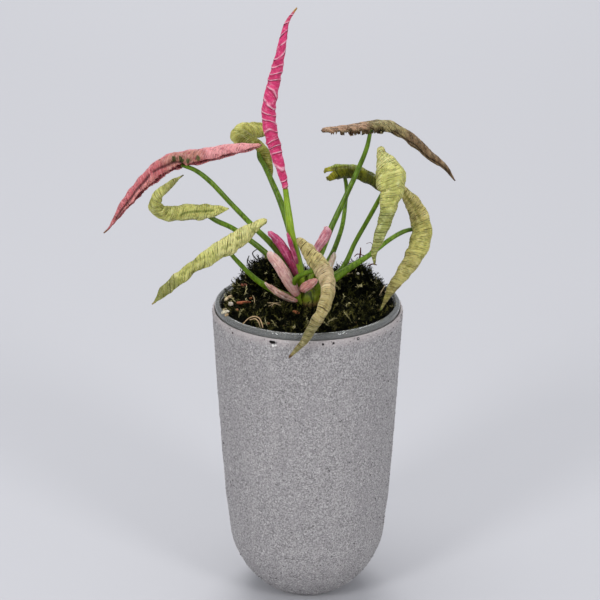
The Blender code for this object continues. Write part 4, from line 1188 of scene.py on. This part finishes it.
# Stretches of other colour: from and to along the blade, from and to across it, colour and strength
ZONES = {
    "pink": (
        (0.0, 0.3, -1, 1, "EFA6A6", 0.85), (0.31, 0.56, 0.25, 1, "A08260", 0.6),
        (0.52, 0.95, -1, 1, "C4666A", 0.8), (0.6, 0.9, 0.72, 1.05, "E59A92", 0.7),
        (0.9, 0.97, -1, 1, "A8645A", 0.6), (0.0, 0.05, -1, 1, "B07A6A", 0.7),
    ),
    "brown": (
        (0.0, 0.3, -1, 1, "BE967A", 0.85), (0.33, 0.55, -1, 1, "A39A68", 0.85),
        (0.58, 1.0, -1, 1, "82694E", 0.85), (0.08, 0.42, -1.1, -0.72, "4A3A1C", 0.9),
    ),
    # The dark leaf's last stretch, from -1 to -0.35 across, is painted shade on its underside
    "dark": (
        (0.0, 0.12, -1, 1, "A9A22C", 0.7), (0.08, 0.62, 0.3, 0.75, "93A63E", 0.75),
        (0.5, 0.95, -1, 1, "42460E", 0.75), (0.1, 0.5, -1, -0.35, "4C500C", 0.6),
    ),
    "broad": ((0.0, 0.22, -1, 1, "D6D38A", 0.8), (0.55, 1.0, -1, 1, "8E9450", 0.85)),
    "right": (
        (0.0, 0.3, -1, 1, "CDB978", 0.6), (0.55, 0.8, -1, 1, "B0A468", 0.6),
        (0.78, 0.97, -1, 1, "7E7044", 0.8),
    ),
    "front": (
        (0.0, 0.25, -1, 1, "BCAC6C", 0.7), (0.3, 0.52, -1, 1, "BCA480", 0.75),
        (0.52, 0.75, -1, 1, "A0905E", 0.7), (0.72, 0.97, -1, 1, "6E6A40", 0.85),
    ),
    # The folded leaf is dark olive near its stalk; the darker band from 0.32 to 0.52 is painted shadow under the
    # pink leaf's tip
    "folded": (
        (0.0, 0.36, -1, 1, "747626", 0.85), (0.32, 0.52, -1, 1, "565818", 0.85),
    ),
    "hooked": ((0.8, 1.0, -1, 1, "8A8650", 0.7), (0.1, 0.5, 0.5, 1, "D0D08C", 0.5)),
    "lower": (
        (0.0, 0.42, -1, 1, "DAD48C", 0.75), (0.55, 0.8, -1, 1, "ACA85E", 0.5),
        (0.76, 1.0, -1, 1, "74763C", 0.85),
    ),
    "spear": ((0.9, 0.96, -1, 1, "C8586A", 0.6),),
}


def make_blades(settings):
    """The ten rolled blades."""
    rows = settings.blade_rows
    columns = settings.blade_columns
    for seed, (name, leaf) in enumerate(LEAVES.items()):
        look = {**LOOK, **LOOKS[name]}
        material = leaf_material("leaf_" + name, BLADE_COLOURS[name], look, ZONES.get(name, ()),
                                 SPOTS.get(name, ()))
        blade = blade_object("leaf_" + name, leaf, material, look, rows, columns, seed * 13.7)
        finish_piece(blade, ["blade_" + name])


def make_sheaths():
    """The papery sheaths round the stalks' feet."""
    tones = {
        "magenta": ("CC4878", "A83460", "E08CAA", "84484C"), "thin": ("C03E6C", "962C54", "D87E9C", "84484C"),
        "broad": ("DDB2A8", "BF8684", "EDD3C8", "9E5C58"), "low": ("D2A696", "9A6A60", "EAD2C0", "8A4A40"),
        "right": ("C8828E", "A86070", "E4B4BC", "8E5058"), "front": ("CF9288", "A86462", "E6BEB0", "8E4A48"),
        "pale": ("E0CDB8", "C0A088", "F4EADC", "A0844C"),
    }
    for number, (name, sheath) in enumerate(SHEATHS.items()):
        material = sheath_material("sheath_" + name, *tones[name])
        piece = sheath_object("paper_" + name, sheath, material, 60 + number * 7.1)
        finish_piece(piece, ["sheath_" + name])


def sheath_object(name, sheath, material, seed):
    rows = 64
    columns = 36
    roll = Roll(sheath, rows)
    shape = (rows + 1, columns + 1)
    grid = np.zeros((*shape, 3))
    flat = np.zeros((*shape, 2))
    relief = np.zeros(shape)
    along = np.zeros(shape)
    for i in range(rows + 1):
        distance = roll.length * i / rows
        for j in range(columns + 1):
            share = j / columns * 2 - 1
            end = 1 - 0.35 * max(i / rows - 0.75, 0) * 4 * (0.5 + rough(share * 3, seed))
            angle = share * roll.wrap[i] * (1 + 0.12 * abs(share) ** 4 * rough(distance * 0.5, share, seed)) * end
            arc = roll.radius[i] * angle
            ridges = math.sin(arc * 4.5 + 1.4 * rough(distance * 0.15, arc * 0.3, seed))
            crumple = rough(distance * 0.4, arc * 0.7, seed)
            grid[i, j] = roll.point(i, angle, 0.06 * ridges + 0.16 * crumple)
            flat[i, j] = (distance, arc)
            relief[i, j] = 0.5 + 0.25 * ridges + 0.5 * crumple
            along[i, j] = i / rows
    return sheet_object(name, grid, flat, {"relief": relief, "along": along}, 0.4, material)


# Loose chips, grains and husks: x, y, lift over the moss, half sizes, turn and colour
LUMPS = (
    (-35.6, -0.6, 1.6, (1.7, 0.7, 0.6), 70, "DCC8A2"), (-34.2, 0.8, 1.8, (1.5, 0.6, 0.6), 50, "C8AE86"),
    (-36.0, -15.6, 1.5, (1.4, 0.8, 0.7), 20, "E2D8BE"), (-34.6, -14.4, 1.5, (0.9, 0.6, 0.5), -30, "EBE3D0"),
    (-34.8, -18.4, 1.5, (0.7, 1.3, 0.5), -20, "B79A72"), (-35.8, -12.6, 1.6, (1.2, 0.5, 0.5), 50, "C9B592"),
    (-24.8, -2.4, 1.2, (0.8, 0.6, 0.5), 40, "C07A48"), (22.3, 6.5, 1.0, (0.6, 0.6, 0.5), 0, "CFC6B2"),
    (24.1, 7.0, 1.0, (0.5, 0.5, 0.5), 0, "D6CDBB"), (35.2, 6.8, 1.0, (1.5, 0.8, 0.6), 60, "A08A6A"),
    (-28.1, 7.9, 1.3, (1.6, 0.9, 0.6), -30, "8A4A34"), (1.5, -26.8, 0.6, (0.9, 0.5, 0.4), 20, "8A6A42"),
    (20.3, -24.8, 0.6, (0.8, 0.5, 0.4), -40, "7A5A38"), (-30.5, -12.8, 1.0, (0.8, 0.6, 0.5), 60, "A8744C"),
    (14.0, -17.0, 0.6, (0.7, 0.5, 0.4), 15, "6E4E30"), (-17.0, -27.5, 0.6, (0.9, 0.5, 0.4), -15, "7C5634"),
    (30.6, -12.5, 0.6, (0.8, 0.5, 0.4), 45, "8C6A44"), (-10.0, -30.5, 0.6, (0.7, 0.5, 0.4), 80, "9A7A50"),
    (3.5, -33.5, 0.6, (0.8, 0.5, 0.4), 35, "6A4A2C"), (33.0, -6.0, 0.6, (0.6, 0.5, 0.4), 5, "B49A6C"),
)


def lump_points(place, half, turn, seed):
    """A worn lump's corners and faces."""
    bm = bmesh.new()
    bmesh.ops.create_icosphere(bm, subdivisions=3, radius=1)
    spin = Matrix.Rotation(math.radians(turn), 3, "Z")
    for vert in bm.verts:
        grown = 1 + 0.22 * noise.noise(vert.co * 1.6 + Vector((seed, 0, 0)))
        grown += 0.08 * noise.noise(vert.co * 4 + Vector((0, seed, 0)))
        squared = Vector([math.copysign(abs(c) ** 0.8, c) for c in vert.co])
        vert.co = above_rim(spin @ (Vector([c * h * grown for c, h in zip(squared, half)])) + Vector(place))
    points = [v.co.copy() for v in bm.verts]
    faces = [[v.index for v in f.verts] for f in bm.faces]
    bm.free()
    return points, faces


def lump_object(name, lumps, material):
    points = []
    faces = []
    tints = []
    for number, (place, half, turn, tint) in enumerate(lumps):
        new_points, new_faces = lump_points(place, half, turn, number * 5.3 + len(name))
        faces += [[at + len(points) for at in face] for face in new_faces]
        points += new_points
        tints += linear(tint) * len(new_points)
    mesh = mesh_from(name, points, faces)
    mesh.attributes.new("tint", "FLOAT_COLOR", "POINT").data.foreach_set("color", tints)
    return link_object(name, mesh, material)


THREADS = {
    "root_curl": ("C2A47C", (((-27.5, -30.6, 0.7, 0.16), (-25.3, -28.2, 2.2, 0.22), (-22.8, -27.6, 3.0, 0.26),
                             (-20.6, -28.6, 2.6, 0.26), (-19.4, -31.5, 1.2, 0.24), (-19, -33.4, 0.2, 0.2)),
                            ((-24.6, -28.8, 1.9, 0.18), (-22.4, -28.6, 2.3, 0.24), (-20.9, -30.2, 1.7, 0.2),
                             (-20.2, -32.6, 0.6, 0.15)))),
    "red_twigs": ("6A2A1C", (((23.5, 33, 6, 0.35), (24.2, 32.5, 10, 0.4), (24.3, 32.3, 13.2, 0.25)),
                             ((21.5, 32, 9, 0.2), (23, 32, 10.2, 0.25), (26, 31.5, 9.6, 0.2)),
                             ((26.5, 13, 11, 0.25), (28.8, 11.6, 12.6, 0.3), (30.8, 11.5, 12.2, 0.2)),
                             ((27.5, 27, 12, 0.15), (29.6, 26.6, 15.5, 0.15), (28.6, 26.4, 17.6, 0.12),
                              (26.6, 26.2, 17.2, 0.1)))),
    "dark_wisps": ("1E1A12", (((-25.5, 17, 9, 0.3), (-26.8, 16.5, 12, 0.3), (-26, 16, 15, 0.22)),
                              ((-22.5, 18.5, 12, 0.3), (-24.5, 18, 15.5, 0.25), (-21.5, 18, 18, 0.18)),
                              ((-29.5, 15, 7, 0.25), (-28.5, 14.5, 9.5, 0.2), (-29.8, 14, 11.5, 0.1)))),
    "pale_strands": ("B39C74", (((-24, -2.5, 2.9, 0.2), (-23.3, -6, 3.2, 0.22), (-23, -10, 2.6, 0.15)),
                                ((-17.5, -9.8, 2.4, 0.15), (-14.5, -11.4, 2.8, 0.25), (-11.5, -12.6, 2.2, 0.15)),
                                ((-13.2, -9.6, 2.4, 0.15), (-14.6, -11.6, 2.7, 0.22), (-15.6, -14.0, 2.0, 0.12)),
                                ((-17.0, -13.4, 2.2, 0.12), (-14.4, -11.8, 2.7, 0.2), (-11.8, -9.8, 2.5, 0.12)),
                                ((31.5, -2, 3.0, 0.15), (33, 1.5, 4.2, 0.2), (34.2, 5, 4.8, 0.15)),
                                ((14.8, 9, 6.6, 0.35), (17.5, 8.8, 8.9, 0.45), (20, 8.4, 9.6, 0.35)))),
}


def make_bits():
    """Chips, grains, twigs and roots that lie on the moss."""
    bark = tinted_material("bark", 0.85)
    kept = {
        "bark_chip_left": ((-28, -8, 1.9), (3.1, 0.8, 0.6), 14, "A85C3A", "bark"),
        "bark_chip_front": ((-5, -19, 1.5), (2.1, 0.8, 0.6), -50, "B0683F", "bark"),
        "pale_grain": ((-33.4, -9, 1.6), (1.0, 0.9, 0.9), 20, "D8CDBD", "pale_grain"),
    }
    for name, (place, half, turn, tint, slot) in kept.items():
        piece = lump_object("loose_" + name, [(place, half, turn, tint)], bark)
        finish_piece(piece, [name])
    lumps = []
    for x, y, lift, half, turn, tint in LUMPS:
        lumps.append(((x, y, moss_height(x, y) + lift + half[2] * 0.4), half, turn, tint))
    finish_piece(lump_object("loose_crumbs", lumps, bark))
    for name, (tint, routes) in THREADS.items():
        thread = path_object(name, routes, 24, tint)
        use_tree(thread, tube_tree(name + "_sweep", bark), Sides=7, Unevenness=0.12 * MM, Grain=900.0)
        outward(thread.data)
        finish_piece(thread)


def area_light(name, place, target, size, watts, colour=(1, 1, 1)):
    light = bpy.data.lights.new(name, "AREA")
    light.shape = "DISK"
    light.size = size
    light.energy = watts
    light.color = colour
    obj = bpy.data.objects.new(name, light)
    obj.location = place
    obj.rotation_euler = (Vector(target) - Vector(place)).to_track_quat("-Z", "Y").to_euler()
    bpy.context.scene.collection.objects.link(obj)


def make_stage(settings):
    """A pale seamless floor, soft studio lights and the camera."""
    material, tree = new_material("paper_floor")
    surface = tree.nodes["Principled BSDF"].inputs
    surface["Base Color"].default_value = (*settings.floor_colour, 1)
    surface["Roughness"].default_value = 0.9
    surface["Specular IOR Level"].default_value = 0.1
    half = 6.0
    corners = [(-half, -half, 0), (half, -half, 0), (half, half, 0), (-half, half, 0)]
    floor = link_object("floor", mesh_from("floor", corners, [(0, 1, 2, 3)]), material)
    middle = (0, 0, 0.13)
    area_light("key", (-0.9, -1.05, 0.85), middle, 0.4, settings.key_watts)
    area_light("fill", (0.9, -1.05, 0.8), middle, 0.4, settings.fill_watts)
    area_light("top", (-0.25, 0.2, 1.5), middle, 1.0, settings.back_watts)
    area_light("far", (0, 2.2, 2.2), (0, 1.7, 0), 2.0, settings.far_watts)
    world = bpy.data.worlds.new("studio")
    world.use_nodes = True
    sky = world.node_tree.nodes["Background"]
    sky.inputs["Color"].default_value = linear("E9ECF2")
    sky.inputs["Strength"].default_value = settings.room_light
    bpy.context.scene.world = world
    lens = bpy.data.cameras.new("camera")
    lens.lens = 102
    lens.sensor_width = 36
    camera = bpy.data.objects.new("camera", lens)
    camera.location = (-0.0033, -0.6993, 0.4046)
    camera.rotation_euler = (math.pi / 2 - math.asin(0.3551), 0, 0)
    bpy.context.scene.collection.objects.link(camera)
    bpy.context.scene.camera = camera
    bpy.context.scene.view_settings.view_transform = "Standard"


class PotSettings(bpy.types.PropertyGroup):
    """Sizes of the pot's finish."""

    grain_size: bpy.props.FloatProperty(
        name="Grain size", description="Half the width of a sand grain", default=0.4 * MM, unit="LENGTH",
        precision=5)
    grain_density: bpy.props.FloatProperty(
        name="Grain density", description="Sand grains to a square metre", default=430000)


class MossSettings(bpy.types.PropertyGroup):
    """Sizes of the moss."""

    shoot_length: bpy.props.FloatProperty(
        name="Shoot length", description="Length of a moss shoot", default=3.6 * MM, unit="LENGTH",
        precision=5)
    shoot_density: bpy.props.FloatProperty(
        name="Shoot density", description="Moss shoots to a square metre", default=520000)


class LeafSettings(bpy.types.PropertyGroup):
    """How finely the blades are built."""

    blade_rows: bpy.props.IntProperty(
        name="Rows", description="Rows of faces along each blade", default=190, min=20)
    blade_columns: bpy.props.IntProperty(
        name="Columns", description="Columns of faces across each blade", default=40, min=8)


class StageSettings(bpy.types.PropertyGroup):
    """Light and floor of the studio."""

    floor_colour: bpy.props.FloatVectorProperty(
        name="Floor", description="Colour of the paper floor", subtype="COLOR", size=3,
        default=colour_default("BCBCC0"))
    key_watts: bpy.props.FloatProperty(
        name="Key light", description="Power of the light at the left front", default=8.5)
    fill_watts: bpy.props.FloatProperty(
        name="Fill light", description="Power of the light at the right front", default=7.0)
    back_watts: bpy.props.FloatProperty(
        name="Back light", description="Power of the light over the plant", default=6.0)
    far_watts: bpy.props.FloatProperty(
        name="Far light", description="Power of the light over the floor far behind", default=45.0)
    room_light: bpy.props.FloatProperty(
        name="Room light", description="Strength of the even light all round", default=0.6)


class PLANT_OT_pot(bpy.types.Operator):
    """Build the tumbler, its sand coat and the soil's look"""

    bl_idname = "plant.pot"
    bl_label = "Pot"

    def execute(self, context):
        make_glass()
        make_coat(context.scene.plant_pot)
        soil = frame["nodes"]["soil_fill"]
        soil.data.materials.clear()
        soil.data.materials.append(peat_material())
        return {"FINISHED"}


class PLANT_OT_moss(bpy.types.Operator):
    """Build the moss mat and its shoots"""

    bl_idname = "plant.moss"
    bl_label = "Moss"

    def execute(self, context):
        make_moss(context.scene.plant_moss)
        return {"FINISHED"}


class PLANT_OT_crown(bpy.types.Operator):
    """Build the crown"""

    bl_idname = "plant.crown"
    bl_label = "Crown"

    def execute(self, context):
        make_crown()
        return {"FINISHED"}


class PLANT_OT_stalks(bpy.types.Operator):
    """Build the leaf stalks"""

    bl_idname = "plant.stalks"
    bl_label = "Stalks"

    def execute(self, context):
        make_stalks()
        return {"FINISHED"}


class PLANT_OT_blades(bpy.types.Operator):
    """Build the rolled blades"""

    bl_idname = "plant.blades"
    bl_label = "Blades"

    def execute(self, context):
        make_blades(context.scene.plant_leaf)
        return {"FINISHED"}


class PLANT_OT_sheaths(bpy.types.Operator):
    """Build the papery sheaths"""

    bl_idname = "plant.sheaths"
    bl_label = "Sheaths"

    def execute(self, context):
        make_sheaths()
        return {"FINISHED"}


class PLANT_OT_bits(bpy.types.Operator):
    """Build the chips, grains, twigs and roots on the moss"""

    bl_idname = "plant.bits"
    bl_label = "Loose bits"

    def execute(self, context):
        make_bits()
        return {"FINISHED"}


class PLANT_OT_stage(bpy.types.Operator):
    """Build the floor, lights and camera"""

    bl_idname = "plant.stage"
    bl_label = "Studio"

    def execute(self, context):
        make_stage(context.scene.plant_stage)
        return {"FINISHED"}


class PLANT_PT_panel(bpy.types.Panel):
    """Lists the plant's pieces and their sizes"""

    bl_idname = "PLANT_PT_panel"
    bl_label = "Arrowhead plant"
    bl_space_type = "VIEW_3D"
    bl_region_type = "UI"
    bl_category = "Plant"

    def draw(self, context):
        for group in ("plant_pot", "plant_moss", "plant_leaf", "plant_stage"):
            settings = getattr(context.scene, group)
            box = self.layout.box()
            for key in settings.bl_rna.properties.keys():
                if key not in ("rna_type", "name"):
                    box.prop(settings, key)
        for operator in OPERATORS:
            self.layout.operator(operator.bl_idname)


GROUPS = {"plant_pot": PotSettings, "plant_moss": MossSettings, "plant_leaf": LeafSettings,
          "plant_stage": StageSettings}
OPERATORS = (PLANT_OT_pot, PLANT_OT_moss, PLANT_OT_crown, PLANT_OT_stalks, PLANT_OT_blades,
             PLANT_OT_sheaths, PLANT_OT_bits, PLANT_OT_stage)


def register():
    for kind in (*GROUPS.values(), *OPERATORS, PLANT_PT_panel):
        bpy.utils.register_class(kind)
    for name, group in GROUPS.items():
        setattr(bpy.types.Scene, name, bpy.props.PointerProperty(type=group))


def unregister():
    for name in GROUPS:
        delattr(bpy.types.Scene, name)
    for kind in (PLANT_PT_panel, *OPERATORS, *GROUPS.values()):
        bpy.utils.unregister_class(kind)


def main():
    register()
    bpy.ops.plant.pot()
    bpy.ops.plant.moss()
    bpy.ops.plant.crown()
    bpy.ops.plant.stalks()
    bpy.ops.plant.blades()
    bpy.ops.plant.sheaths()
    bpy.ops.plant.bits()
    bpy.ops.plant.stage()


if __name__ == "__main__":
    main()
